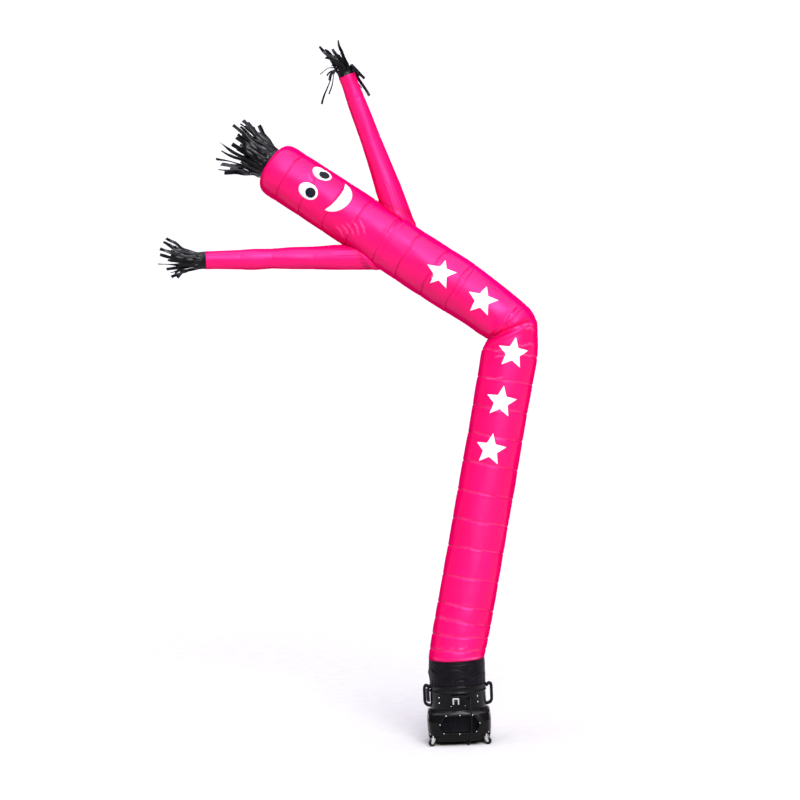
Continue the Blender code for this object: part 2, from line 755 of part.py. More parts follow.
def caster(tag, x, y, turn, base, mats):
    """One swivel caster: stem and fork on the swivel axis, wheel on its axle."""
    metal, tyre = mats
    pivot = empty("swivel_axis_" + tag, (x, y, 0.0), base)
    pivot.rotation_euler = (0.0, 0.0, turn)
    top = POCKET_Z - GAP
    cheek = WHEEL_W / 2 + 0.0012
    thick = 0.0028
    back, front = -0.016, 0.018
    x1 = TRAIL + 0.009
    low = WHEEL_R - 0.008
    crown = 2 * WHEEL_R + 0.006
    rows = [(back, crown), (back, crown - 0.006), (x1 - 0.018, low), (x1, low), (x1, low + 0.016),
            (front, crown - 0.006), (front, crown)]
    n = len(rows)
    verts, faces = [], []
    # two cheeks joined by the crown plate, made as one channel section swept over the outline
    for yy in (-cheek - thick, -cheek, cheek, cheek + thick):
        verts += [(px, yy, pz) for px, pz in rows]
    for layer in (0, 2):
        a, b = layer * n, (layer + 1) * n
        for j in range(n):
            k = (j + 1) % n
            if j == n - 1:
                continue
            faces.append((a + j, a + k, b + k, b + j))
        faces.append(tuple(a + j for j in range(n)))
        faces.append(tuple(b + j for j in range(n)))
    # crown plate over both cheeks
    size = len(verts)
    lift = 0.004
    for yy in (-cheek - thick, cheek + thick):
        verts += [(back, yy, crown + lift), (front, yy, crown + lift)]
    left_low = (0, n - 1)
    lin = (n, 2 * n - 1)
    rin = (2 * n, 3 * n - 1)
    right_low = (3 * n, 4 * n - 1)
    faces += [(left_low[0], size, size + 1, left_low[1]),
              (right_low[0], size + 2, size + 3, right_low[1]),
              (size, size + 1, size + 3, size + 2),
              (lin[0], lin[1], rin[1], rin[0]),
              (left_low[0], lin[0], rin[0], right_low[0], size + 2, size),
              (left_low[1], lin[1], rin[1], right_low[1], size + 3, size + 1)]
    fork = add("caster_fork_" + tag, verts, faces, metal, pivot)
    stem = turned("caster_stem_" + tag, ((crown + lift - 0.002, STEM_R), (top, STEM_R)), 12, (0, 0, 1),
                  metal, pivot)
    cut(fork, stem, "UNION")
    wheel = turned("caster_wheel_" + tag,
                   ((-cheek + GAP, HUB_R), (-WHEEL_W / 2, HUB_R), (-WHEEL_W / 2, WHEEL_R),
                    (WHEEL_W / 2, WHEEL_R), (WHEEL_W / 2, HUB_R), (cheek - GAP, HUB_R)),
                   WHEEL_SIDES, (0, 1, 0), tyre, pivot,
                   (TRAIL, 0.0, WHEEL_R * math.cos(math.pi / WHEEL_SIDES)), math.pi / WHEEL_SIDES)
    return fork, stem, wheel


def smooth_route(points, spacing):
    """Points at even steps along a smooth curve through a cord's own bends."""
    pts = np.array(points, dtype=float)
    ext = np.vstack([2 * pts[0] - pts[1], pts, 2 * pts[-1] - pts[-2]])
    dense = []
    for i in range(1, len(ext) - 2):
        p0, p1, p2, p3 = ext[i - 1:i + 3]
        for u in np.linspace(0, 1, 40, endpoint=False):
            dense.append(0.5 * (2 * p1 + (p2 - p0) * u + (2 * p0 - 5 * p1 + 4 * p2 - p3) * u ** 2
                                + (3 * p1 - p0 - 3 * p2 + p3) * u ** 3))
    dense.append(pts[-1])
    dense = np.array(dense)
    run = np.concatenate([[0], np.cumsum(np.linalg.norm(np.diff(dense, axis=0), axis=1))])
    count = max(2, int(round(run[-1] / spacing)))
    want = np.linspace(0, run[-1], count + 1)
    return np.stack([np.interp(want, run, dense[:, k]) for k in range(3)], axis=1)


GLAND = (0.097, 0.384)
GLAND_MOUTH_Y = -0.236
COIL_AT = (-0.020, 0.345)
# the cord's bends from the gland to the coil. columns: x, y, z
CORD_ROUTE = (
    (GLAND[0], GLAND_MOUTH_Y - 0.0020, GLAND[1]),
    (GLAND[0], GLAND_MOUTH_Y - 0.0170, GLAND[1] - 0.0020),
    (0.100, -0.264, 0.355),
    (0.105, -0.266, 0.290),
    (0.104, -0.268, 0.210),
    (0.096, -0.268, 0.110),
    (0.082, -0.266, 0.050),
    (0.070, -0.250, 0.014),
    (0.056, -0.200, CORD_R + 0.0008),
    (0.030, -0.050, CORD_R + 0.0008),
    (0.020, 0.120, CORD_R + 0.0008),
    (0.024, 0.230, CORD_R + 0.0008),
    (0.0325, 0.290, CORD_R + 0.0010),
    (0.0388, 0.3293, CORD_R + 0.0016),
)


def cord(name, points, mat, parent):
    curve = bpy.data.curves.new(name, "CURVE")
    curve.dimensions = "3D"
    curve.bevel_depth = CORD_R
    curve.bevel_resolution = 2
    curve.use_fill_caps = True
    spline = curve.splines.new("POLY")
    spline.points.add(len(points) - 1)
    for p, co in zip(spline.points, points):
        p.co = (*map(float, co), 1.0)
    curve.materials.append(mat)
    ob = bpy.data.objects.new(name, curve)
    bpy.context.collection.objects.link(ob)
    ob.parent = parent
    return ob


def coil(name, mat, parent):
    """Three turns of cord lying flat, as one ring with a rounded outline."""
    n, m = 22, 8
    half_w, half_h = 0.0085, 0.0068
    verts = []
    for i in range(n):
        a = 2 * math.pi * i / n
        for j in range(m):
            b = 2 * math.pi * (j + 0.5) / m
            r = COIL_R + half_w * math.cos(b)
            z = half_h * (1 + math.sin(b) / math.sin(3 * math.pi / 8))
            verts.append((r * math.cos(a), r * math.sin(a), z))
    faces = band_faces(n, m, True)
    return add(name, verts, faces, mat, parent, (COIL_AT[0], COIL_AT[1], 0.0004))


def plug(name, mat, parent):
    """A moulded two-pin plug lying behind the coil."""
    # distance along the plug, half width, half height
    rows = ((-0.030, 0.0055, 0.0055), (-0.012, 0.0070, 0.0070), (-0.008, 0.0130, 0.0095),
            (0.014, 0.0140, 0.0100), (0.018, 0.0125, 0.0090))
    grid = []
    for x, hy, hz in rows:
        ring = []
        for j in range(8):
            a = 2 * math.pi * (j + 0.5) / 8
            ring.append((x, hy * math.cos(a), hz * math.sin(a)))
        grid.append(ring)
    body = loft(name, grid, mat, parent, (COIL_AT[0] - 0.105, COIL_AT[1] + COIL_R, 0.0098))
    body.rotation_euler = (0.0, 0.0, math.pi)
    return body


# Assembly.
def main():
    clear()
    pink = material("pink_cloth", PINK, 0.45)
    dark = material("dark_cloth", DARK_CLOTH, 0.5)
    white = material("white_cloth", WHITE_CLOTH, 0.5)
    pupil = material("pupil_cloth", PUPIL, 0.4)
    case = material("black_plastic", CASE, 0.42)
    steel = material("zinc_steel", STEEL, 0.3, 0.9)
    pale = material("pale_plastic", BEZEL, 0.4)
    rubber = material("wheel_rubber", (0.02, 0.02, 0.02), 0.6)
    vinyl = material("cord_vinyl", (0.012, 0.012, 0.012), 0.4)
    base = empty("blower_centre", (BLOWER_X, BLOWER_Y, 0.0))

    # the figure
    tube = wall("body_tube", tube_grid(), CLOTH, pink, base)
    skin = surface(tube)
    sleeve("sleeve_level", LEVEL_SLEEVE, (1.0, -0.02, 0.0), 0.02, skin, pink, base)
    sleeve("sleeve_raised", RAISED_SLEEVE, (0.29, -0.95, -0.03), 0.02, skin, pink, base)

    # dark band over the collar: height, radius, and a sewn tab's bulge on one side
    rows = ((0.497, 0.2290, 0.0), (0.520, 0.2294, 0.0), (0.562, 0.2322, 0.004), (0.592, 0.2326, 0.010),
            (0.618, 0.2322, 0.004), (0.655, 0.2316, 0.0), (SEAM_Z - GAP, 0.2296, 0.0))
    grid = []
    for i, (z, r, tab) in enumerate(rows):
        ring = []
        for j in range(AROUND):
            a = 2 * math.pi * j / AROUND
            sag = 0.0014 * math.sin(6 * a + 2.2 * i) if 0 < i < len(rows) - 1 else 0.0
            k = r + sag + tab * math.exp(-((math.degrees(a) - 180) / 12.0) ** 2)
            ring.append((k * math.cos(a), k * math.sin(a), z))
        grid.append(ring)
    wall("base_band", np.array(grid), CLOTH * 0.75, dark, base)

    # fringes
    crown = KNEE + TORSO * (TORSO_LENGTH - 0.0010)
    fringe("hair_fringe", crown, TORSO, TORSO_SIDE, 0.144, 0.045, HAIR, dark, base)
    wrist = np.array(LEVEL_SLEEVE[-1][:3])
    axis = unit(wrist - np.array(LEVEL_SLEEVE[-2][:3]))
    fringe("hand_fringe_level", wrist + axis * GAP, axis, np.array((0.0, 1.0, 0.0)), 0.0740, 0.090,
           LEVEL_HAND, dark, base)
    wrist = np.array(RAISED_SLEEVE[-1][:3])
    axis = unit(wrist - np.array(RAISED_SLEEVE[-2][:3]))
    fringe("hand_fringe_raised", wrist + axis * GAP * 2, axis, np.array((1.0, 0.0, 0.0)), 0.0705, 0.060,
           RAISED_HAND, dark, base)

    # face and stars
    for tag, angle in (("low", -4.0), ("high", 47.0)):
        shift = math.radians(angle) * TUBE_R
        eye = torso_frame(TORSO_LENGTH - 0.442, shift)
        ball = patch("eye_" + tag, oval(0.174, 0.132), eye, skin, tube, white, base)
        inner = torso_frame(TORSO_LENGTH - 0.442 - 0.023, shift)
        patch("pupil_" + tag, oval(0.091, 0.083, 14), inner, skin, ball, pupil, base, 2)
    smile("smile", skin, tube, white, base)
    for i, (part, s, shift) in enumerate(STARS):
        where = torso_frame(s, shift) if part == "torso" else leg_frame(s, shift)
        patch("star_" + str(i + 1), star(STAR_R), where, skin, tube, white, base)

    # blower
    housing = loft("blower_housing", housing_grid(), case, base)
    shell = surface(housing)
    cutters = []
    for sx in (-1, 1):
        for sy in (-1, 1):
            cutters.append(turned("cutter_pocket", ((0.0, POCKET_R), (POCKET_Z, POCKET_R)), 24, (0, 0, 1),
                                  case, base, (sx * SWIVEL_X, sy * SWIVEL_Y, 0.0)))
    cutters.append(prism("cutter_seat", scaled(INTAKE, 0.014), -0.40, INTAKE_SEAT_Y, case, base))
    cutters.append(prism("cutter_intake", INTAKE, -0.40, INTAKE_FLOOR_Y, case, base))
    for cutter in cutters:
        cut(housing, cutter)
    ring_plate("intake_frame", scaled(INTAKE, 0.0135), scaled(INTAKE, 0.001), INTAKE_SEAT_Y - GAP,
               INTAKE_SEAT_Y - 0.0080, case, base)
    face_y = INTAKE_SEAT_Y - 0.0080
    heads = ((-0.1060, 0.2535), (0.0080, 0.2540), (0.1130, 0.2540), (-0.1610, 0.1815), (0.1700, 0.1855),
             (-0.1290, 0.1075), (0.0000, 0.0988), (0.1390, 0.1150))
    for i, (x, z) in enumerate(heads):
        screw("intake_screw_" + str(i + 1), x, z, face_y, 0.0045, steel, base)
    handle("handle_left", -1, shell, case, base)
    handle("handle_right", 1, shell, case, base)
    prism("grip_web_left", ((-0.2358, 0.338), (-0.2560, 0.338), (-0.2636, 0.354), (-0.2636, 0.446),
                            (-0.2580, 0.455), (-0.2358, 0.448)), 0.0120, 0.0145, case, base)
    for i, (x, z) in enumerate(((-0.160, 0.352), (-0.160, 0.398), (0.160, 0.352), (0.160, 0.398))):
        turn = math.asin(x / NECK_R)
        r = neck_radius(z)
        screw("neck_screw_" + str(i + 1), r * math.sin(turn), z, -r * math.cos(turn), 0.0060, steel, base,
              turn)
    plate = prism("switch_plate", ((-0.068, 0.328), (0.068, 0.328), (0.068, 0.416), (-0.068, 0.416)),
                  -0.2460, -0.2100, case, base)
    backing = turned("cutter_neck", ((0.30, neck_radius(0.30) + GAP), (0.424, neck_radius(0.424) + GAP)),
                     2 * NECK_SIDES, (0, 0, 1), case, base)
    cut(plate, backing)
    cutters.append(backing)
    u_out, u_in, z0, z1 = 0.027, 0.0155, 0.347, 0.401
    kx = -0.021
    prism("switch_bezel", ((kx - u_out, z0), (kx - u_in, z0), (kx - u_in, z1 - 0.0115),
                           (kx + u_in, z1 - 0.0115), (kx + u_in, z0), (kx + u_out, z0), (kx + u_out, z1),
                           (kx - u_out, z1)), -0.2460 - GAP, -0.2520, pale, base)
    knob = turned("switch_knob", ((GAP, 0.0135), (0.010, 0.0135), (0.0125, 0.0115)), 16, (0, -1, 0), case,
                  base, (kx, -0.2460, 0.372))
    grip = prism("switch_grip", ((-0.0040, -0.0110), (0.0040, -0.0110), (0.0040, 0.0110),
                                 (-0.0040, 0.0110)), -0.0190, -0.0115, case, base, (kx, -0.2460, 0.372))
    cut(knob, grip, "UNION")
    cutters.append(grip)
    ring = [(GLAND[0] + 0.0095 * math.cos(a), GLAND_MOUTH_Y, GLAND[1] + 0.0095 * math.sin(a))
            for a in np.arange(12) * math.pi / 6]
    loft("cord_gland", [ring, meet(ring, (0, 1, 0), shell, GAP)], case, base)

    # casters
    for tag, sx, sy, turn in (("front_left", -1, -1, 200), ("front_right", 1, -1, -25),
                              ("rear_left", -1, 1, 150), ("rear_right", 1, 1, 40)):
        _, stem, _ = caster(tag, sx * SWIVEL_X, sy * SWIVEL_Y, math.radians(turn), base, (steel, rubber))
        cutters.append(stem)

    # cord
    route = smooth_route(CORD_ROUTE, 2.4 * 2 * CORD_R)
    cord("power_cord", route, vinyl, base)
    coil("cord_coil", vinyl, base)
    far = COIL_AT[1] + COIL_R
    tail = smooth_route(((COIL_AT[0] - 0.004, far + 0.0127, CORD_R + 0.0004),
                         (COIL_AT[0] - 0.030, far + 0.010, CORD_R + 0.0012),
                         (COIL_AT[0] - 0.055, far + 0.003, 0.0080),
                         (COIL_AT[0] - 0.0740, far, 0.0098)), 2.2 * 2 * CORD_R)
    cord("cord_tail", tail, vinyl, base)
    plug("cord_plug", vinyl, base)

    bpy.context.view_layer.update()
    depsgraph = bpy.context.evaluated_depsgraph_get()
    for ob in list(bpy.data.objects):
        if ob.type == "MESH" and ob.modifiers:
            mesh = bpy.data.meshes.new_from_object(ob.evaluated_get(depsgraph))
            ob.modifiers.clear()
            ob.data = mesh
    for cutter in cutters:
        bpy.data.objects.remove(cutter, do_unlink=True)


main()
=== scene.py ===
"""Looks of the inflatable air dancer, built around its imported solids. Metres, +Z up."""
import math
import random

import bmesh
import bpy
import numpy as np
from mathutils import Matrix, Vector
from mathutils.bvhtree import BVHTree


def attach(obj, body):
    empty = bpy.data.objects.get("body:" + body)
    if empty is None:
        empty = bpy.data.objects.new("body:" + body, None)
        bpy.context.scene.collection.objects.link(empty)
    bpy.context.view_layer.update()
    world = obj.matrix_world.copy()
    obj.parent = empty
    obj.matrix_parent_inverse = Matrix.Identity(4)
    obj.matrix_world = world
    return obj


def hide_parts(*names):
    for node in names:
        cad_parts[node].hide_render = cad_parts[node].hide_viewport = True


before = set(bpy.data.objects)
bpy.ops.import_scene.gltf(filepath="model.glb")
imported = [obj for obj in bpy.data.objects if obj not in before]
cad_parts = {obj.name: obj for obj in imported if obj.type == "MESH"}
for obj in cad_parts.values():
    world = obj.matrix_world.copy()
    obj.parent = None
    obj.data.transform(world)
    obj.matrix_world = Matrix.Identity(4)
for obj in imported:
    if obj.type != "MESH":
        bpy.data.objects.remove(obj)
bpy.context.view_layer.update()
random.seed(7)

BLOWER = np.array((0.7773, -0.5869, 0.0))    # blower's centre line on the floor
PLANE_LEAN = math.radians(8.0)               # the dancer bends in a plane that leans back by this
ROLL = math.radians(2.4)                     # camera's turn about its line of sight
METRES_PER_PIXEL = 0.00828
FOOT_PIXEL = (460.0, 741.0)                  # where the blower's centre stands in the picture

PICTURE = 800                                # the picture's side in pixels
PICTURE_MIDDLE = (-0.378, 2.842, 0.0)        # the point of the leaning plane in the picture's middle

CLOTH = 0.0016                               # wall of the tube and the sleeves
TUBE_R = 0.2297
SEAM_Z = 0.7005                              # height of the seam between the tube and the base band
CORD_R = 0.0045


def unit(v):
    v = np.asarray(v, dtype=float)
    return v / np.linalg.norm(v, axis=-1, keepdims=True)


def lean(p):
    """Points (x, h, t) of the leaning plane as upright x, y, z from the blower's centre, or back."""
    p = np.asarray(p, dtype=float)
    s, c = math.sin(PLANE_LEAN), math.cos(PLANE_LEAN)
    return np.stack([p[..., 0], p[..., 1] * s + p[..., 2] * c, p[..., 1] * c - p[..., 2] * s], axis=-1)


def pixels(p):
    """Where points (x, h, t) show in the picture."""
    c, s = math.cos(ROLL), math.sin(ROLL)
    x, h = p[..., 0] / METRES_PER_PIXEL, p[..., 1] / METRES_PER_PIXEL
    return np.stack([FOOT_PIXEL[0] + x * c - h * s, FOOT_PIXEL[1] - x * s - h * c], axis=-1)


def angles(n):
    return np.arange(n) * 2 * math.pi / n


def new_object(name, data):
    ob = bpy.data.objects.new(name, data)
    bpy.context.scene.collection.objects.link(ob)
    return ob


def make_camera(distance=100.0):
    """A camera so far off that the view is nearly parallel, as in the picture."""
    c, s = math.cos(ROLL), math.sin(ROLL)
    right, up, back = lean((c, -s, 0.0)), lean((s, c, 0.0)), -lean((0.0, 0.0, 1.0))
    data = bpy.data.cameras.new("camera")
    data.sensor_width = 36.0
    data.lens = 36.0 * distance / (PICTURE * METRES_PER_PIXEL)
    data.clip_end = 1000.0
    cam = new_object("camera", data)
    place = BLOWER + lean(PICTURE_MIDDLE) + back * distance
    rows = [[right[i], up[i], back[i], place[i]] for i in range(3)]
    cam.matrix_world = Matrix(rows + [[0, 0, 0, 1]])
    bpy.context.scene.camera = cam


make_camera()


# Mesh helpers.
def add(name, verts, faces, mat, body="root", replaces=None, slot=None, angle=None):
    """A mesh piece given in coordinates from the blower's centre. A cutter has no body."""
    mesh = bpy.data.meshes.new(name)
    verts = np.asarray(verts, dtype=float).reshape(-1, 3) + BLOWER
    mesh.from_pydata([tuple(map(float, v)) for v in verts], [], [tuple(map(int, f)) for f in faces])
    bm = bmesh.new()
    bm.from_mesh(mesh)
    bmesh.ops.recalc_face_normals(bm, faces=bm.faces)
    bm.to_mesh(mesh)
    bm.free()
    for poly in mesh.polygons:
        poly.use_smooth = True
    mesh.materials.append(mat)
    if angle is not None:
        mesh.set_sharp_from_angle(angle=math.radians(angle))
    ob = new_object(name, mesh)
    if body:
        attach(ob, body)
    if replaces:
        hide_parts(replaces)
    return ob


def rings_to_faces(count, n, closed=False):
    """Quads between rings of n points. Closed, the last ring meets the first."""
    faces = []
    for i in range(count if closed else count - 1):
        a, b = i * n, ((i + 1) % count) * n
        for j in range(n):
            k = (j + 1) % n
            faces.append((a + j, a + k, b + k, b + j))
    return faces


def outward(grid):
    """The normals of a grid of rings, away from its middle."""
    along = np.gradient(grid, axis=0)
    around = np.roll(grid, -1, axis=1) - np.roll(grid, 1, axis=1)
    normal = unit(np.cross(along, around) + 1e-12)
    middle = grid[len(grid) // 2]
    if np.sum(normal[len(grid) // 2] * (middle - middle.mean(axis=0))) < 0:
        normal = -normal
    return normal


def shell(name, grid, mat, coarse=(3, 3), wall=CLOTH, values=(), **more):
    """A cloth wall: the outer rings as they are, and inside them a coarser copy, joined at both rims."""
    rows, n = grid.shape[:2]
    pick = sorted(set(range(0, rows, coarse[0])) | {rows - 1})
    inner = (grid - wall * outward(grid))[pick][:, ::coarse[1]]
    m = inner.shape[1]
    start = rows * n
    faces = rings_to_faces(rows, n)
    for face in rings_to_faces(len(pick), m):
        faces.append(tuple(start + v for v in face))
    step = coarse[1]
    for outer_row, inner_row in ((0, 0), (rows - 1, len(pick) - 1)):
        for j in range(m):
            a = [outer_row * n + (j * step + q) % n for q in range(step + 1)]
            b = start + inner_row * m + j
            c = start + inner_row * m + (j + 1) % m
            faces.append(tuple(a + [c, b]))
    ob = add(name, np.concatenate([grid.reshape(-1, 3), inner.reshape(-1, 3)]), faces, mat, **more)
    for key, marks in dict(values).items():
        layer = ob.data.attributes.new(key, "FLOAT", "POINT")
        full = np.concatenate([marks.reshape(-1), marks[pick][:, ::coarse[1]].reshape(-1)])
        layer.data.foreach_set("value", full.astype(np.float32))
    return ob


def lofted(grid):
    """Points and faces of a solid through rings, closed at both ends."""
    grid = np.asarray(grid, dtype=float)
    n = grid.shape[1]
    faces = rings_to_faces(len(grid), n)
    faces += [tuple(reversed(range(n))), tuple((len(grid) - 1) * n + j for j in range(n))]
    return grid.reshape(-1, 3), faces


def joined(*solids):
    """The points and faces of several solids as one."""
    verts, faces, start = [], [], 0
    for points, polygons in solids:
        verts.append(np.asarray(points))
        faces += [tuple(start + v for v in face) for face in polygons]
        start += len(points)
    return np.concatenate(verts), faces


def placed(solid, x, y, turn):
    """A solid turned about the upright and moved over the floor."""
    points, faces = solid
    c, s = math.cos(turn), math.sin(turn)
    points = np.asarray(points)
    return np.stack([x + c * points[:, 0] - s * points[:, 1], y + s * points[:, 0] + c * points[:, 1],
                     points[:, 2]], axis=1), faces


def bend(a, b, c, radius, steps):
    """The short curve that takes the place of corner b."""
    p, q = (b + (end - b) * min(0.45, radius / max(np.linalg.norm((end - b)[:3]), 1e-6)) for end in (a, c))
    return [(1 - u) ** 2 * p + 2 * u * (1 - u) * b + u * u * q for u in np.linspace(0, 1, steps + 1)]


def rounded(rows, radius, steps=3):
    """A profile with its inner corners rounded."""
    rows = np.array(rows, dtype=float)
    curves = [bend(*three, radius, steps) for three in zip(rows[:-2], rows[1:-1], rows[2:])]
    return np.concatenate([rows[:1], *curves, rows[-1:]])


def soft_outline(points, radius, steps=4):
    """A closed outline with its corners rounded."""
    points = np.array(points, dtype=float)
    threes = zip(np.roll(points, 1, axis=0), points, np.roll(points, -1, axis=0))
    return np.concatenate([bend(*three, radius, steps) for three in threes])


def rounded_box(half_a, half_b, corner):
    corners = ((-half_a, -half_b), (half_a, -half_b), (half_a, half_b), (-half_a, half_b))
    return soft_outline(corners, corner)


def turned(rows, n, axis, place, radius=0.0008):
    """A turned solid from (distance along the axis, radius), its corners slightly rounded."""
    axis = unit(axis)
    side = unit(np.cross(axis, (0.0, 0.0, 1.0) if abs(axis[2]) < 0.9 else (1.0, 0.0, 0.0)))
    up = np.cross(axis, side)
    a = angles(n)
    spokes = np.cos(a)[:, None] * side + np.sin(a)[:, None] * up
    return lofted([np.array(place) + along * axis + r * spokes for along, r in rounded(rows, radius)])


def mirrored(rows):
    """A profile of a turned solid, followed by its mirror image."""
    return rows + tuple((-along, r) for along, r in reversed(rows))


def inset(outline, depth):
    """An outline moved inward by a small depth."""
    along = unit(np.roll(outline, -1, axis=0) - np.roll(outline, 1, axis=0) + 1e-9)
    normal = np.stack([-along[:, 1], along[:, 0]], axis=1)
    x, z = outline[:, 0], outline[:, 1]
    area = np.sum(x * np.roll(z, -1) - z * np.roll(x, -1))
    return outline + normal * depth * math.copysign(1.0, area)


def depth_ring(outline, y, depth=0.0):
    """An (x, z) outline moved inward by a small depth and set at y."""
    flat = inset(outline, depth)
    return np.stack([flat[:, 0], np.full(len(flat), y), flat[:, 1]], axis=1)


def slab(outline, y0, y1, edge=0.001):
    """A flat solid with softened edges: an (x, z) outline between two depths."""
    direction = math.copysign(1.0, y1 - y0)
    rows = ((y0, edge), (y0 + 0.3 * edge * direction, 0.3 * edge), (y0 + edge * direction, 0.0),
            (y1 - edge * direction, 0.0), (y1 - 0.3 * edge * direction, 0.3 * edge), (y1, edge))
    return lofted([depth_ring(outline, y, depth) for y, depth in rows])


def swept(line, section, across=(0.0, 1.0, 0.0)):
    """A solid along a line. section gives each ring's (side, across) offsets by the share of the way."""
    tangent = unit(np.gradient(line, axis=0))
    grid = []
    for k, (p, d) in enumerate(zip(line, tangent)):
        wide = unit(np.array(across) - d * np.dot(across, d))
        out = np.cross(d, wide)
        grid.append([p + out * a + wide * b for a, b in section(k / (len(line) - 1))])
    return lofted(grid)


def hermite(knots, values, at):
    """Smooth values between uneven knots."""
    knots, values = np.asarray(knots, dtype=float), np.asarray(values, dtype=float)
    slope = np.gradient(values, knots, axis=0)
    i = np.clip(np.searchsorted(knots, at, side="right") - 1, 0, len(knots) - 2)
    h = (knots[i + 1] - knots[i]).reshape((-1,) + (1,) * (values.ndim - 1))
    u = (at - knots[i]).reshape(h.shape) / h
    return ((2 * u ** 3 - 3 * u ** 2 + 1) * values[i] + (u ** 3 - 2 * u ** 2 + u) * h * slope[i]
            + (3 * u ** 2 - 2 * u ** 3) * values[i + 1] + (u ** 3 - u ** 2) * h * slope[i + 1])


def run_along(line):
    """How far along a line each of its points is."""
    return np.concatenate([[0], np.cumsum(np.linalg.norm(np.diff(line, axis=0), axis=1))])


def resampled(line, want):
    """The points of a line at the wanted distances along it."""
    run = run_along(line)
    return np.stack([np.interp(want, run, line[:, k]) for k in range(3)], axis=1)


# Materials.
def new_material(name, colour, rough, metal=0.0, gloss=0.5, **sockets):
    mat = bpy.data.materials.new(name)
    mat.use_nodes = True
    bsdf = mat.node_tree.nodes["Principled BSDF"]
    sockets |= {"Base_Color": (*colour, 1.0), "Roughness": rough, "Metallic": metal,
                "Specular_IOR_Level": gloss}
    for key, value in sockets.items():
        bsdf.inputs[key.replace("_", " ")].default_value = value
    return mat, mat.node_tree, bsdf


def node(tree, kind, **values):
    """A new node. A value is a socket to link to the input of that name, its plain value or a setting."""
    made = tree.nodes.new(kind)
    for key, value in values.items():
        name = key.replace("_", " ")
        if name not in made.inputs:
            setattr(made, key, value)
        elif isinstance(value, bpy.types.NodeSocket):
            tree.links.new(value, made.inputs[name])
        else:
            made.inputs[name].default_value = value
    return made


def noise(tree, scale, detail=3.0, rough=0.55):
    place = node(tree, "ShaderNodeTexCoord").outputs["Object"]
    return node(tree, "ShaderNodeTexNoise", Vector=place, Scale=scale, Detail=detail,
                Roughness=rough).outputs["Fac"]


def ramp(tree, source, low, high, stops=(0.35, 0.65)):
    made = node(tree, "ShaderNodeValToRGB", Fac=source)
    for stop, position, colour in zip(made.color_ramp.elements, stops, (low, high)):
        stop.position = position
        stop.color = (*colour, 1.0)
    return made.outputs["Color"]


def weave(tree, pitch):
    """Two crossed sets of threads, as a height."""
    place = node(tree, "ShaderNodeTexCoord").outputs["Object"]
    both = node(tree, "ShaderNodeMath", operation="MAXIMUM")
    for direction, socket in zip(("X", "Z"), both.inputs):
        wave = node(tree, "ShaderNodeTexWave", Vector=place, Scale=1.0 / pitch / 2.0, Distortion=0.4,
                    Detail=1.0, wave_type="BANDS", bands_direction=direction)
        tree.links.new(wave.outputs["Fac"], socket)
    return both.outputs["Value"]


def mix(tree, factor, a, b):
    """Colour a to colour b, by a factor. a is a socket."""
    made = node(tree, "ShaderNodeMix", data_type="RGBA")
    tree.links.new(factor, made.inputs[0])
    tree.links.new(a, made.inputs[6])
    made.inputs[7].default_value = (*b, 1.0)
    return made.outputs[2]


def spread(tree, source, low, high):
    """A factor of 0 to 1 as a value from low to high."""
    return node(tree, "ShaderNodeMapRange", Value=source, To_Min=low, To_Max=high).outputs["Result"]


def dressed(made, colour, rough, heights):
    """Links a new material's colour, roughness and chained bump of (height, strength, distance)."""
    mat, tree, bsdf = made
    chain = {}
    for height, strength, distance in heights:
        bump = node(tree, "ShaderNodeBump", Height=height, Strength=strength, Distance=distance, **chain)
        chain = {"Normal": bump.outputs["Normal"]}
    for key, source in (("Base Color", colour), ("Roughness", rough), ("Normal", chain["Normal"])):
        tree.links.new(source, bsdf.inputs[key])
    return mat


def make_pink():
    made = new_material("pink_coated_nylon", (0.66, 0.0009, 0.094), 0.42, gloss=0.4,
                        Specular_Tint=(1.0, 0.22, 0.8, 1.0))
    tree, bsdf = made[1:]
    cloudy = ramp(tree, noise(tree, 2.2, 4.0), (0.62, 0.0006, 0.087), (0.7, 0.001, 0.101))
    # the first attribute paints a lighter pink highlight along wrinkles and beside the leg's sewn lines;
    # the second paints the sewn lines darker red, partly stitched tape and partly painted shade in their
    # grooves
    painted_crease_highlight, seam_tape_and_shade = (node(tree, "ShaderNodeAttribute", attribute_name=key).outputs["Fac"]
                    for key in ("painted_crease_highlight", "seam_tape_and_shade"))
    colour = mix(tree, seam_tape_and_shade, mix(tree, painted_crease_highlight, cloudy, (0.9, 0.12, 0.36)), (0.24, 0.0006, 0.032))
    # the coating shines face on and little at a grazing angle
    facing = node(tree, "ShaderNodeLayerWeight", Blend=0.5).outputs["Facing"]
    shine = ramp(tree, facing, (0.74, 0.74, 0.74), (0.0, 0.0, 0.0), (0.08, 0.5))
    tree.links.new(shine, bsdf.inputs["Specular IOR Level"])
    return dressed(made, colour, spread(tree, noise(tree, 6.0, 5.0), 0.36, 0.52),
                   ((noise(tree, 9.0, 3.0), 0.35, 0.006), (noise(tree, 38.0, 4.0), 0.22, 0.0016),
                    (weave(tree, 0.0016), 0.1, 0.0002)))


def make_cloth(name, low, high, rough, weave_pitch=0.0014, wrinkle=0.004, **sockets):
    made = new_material(name, high, rough, **sockets)
    tree = made[1]
    return dressed(made, ramp(tree, noise(tree, 14.0, 4.0), low, high),
                   spread(tree, noise(tree, 30.0, 3.0), rough - 0.07, rough + 0.08),
                   ((noise(tree, 24.0, 4.0), 0.5, wrinkle), (weave(tree, weave_pitch), 0.15, 0.0002)))


def make_plastic(name, low, high, rough, grain=900.0, **sockets):
    """Moulded plastic with fine grain, dusty patches and faint scuffs."""
    made = new_material(name, high, rough, **sockets)
    tree = made[1]
    return dressed(made, ramp(tree, noise(tree, 9.0, 5.0), low, high),
                   spread(tree, noise(tree, 17.0, 6.0, 0.7), rough - 0.09, rough + 0.12),
                   ((noise(tree, 6.0, 2.0), 0.15, 0.004), (noise(tree, grain, 2.0), 0.12, 0.0002)))


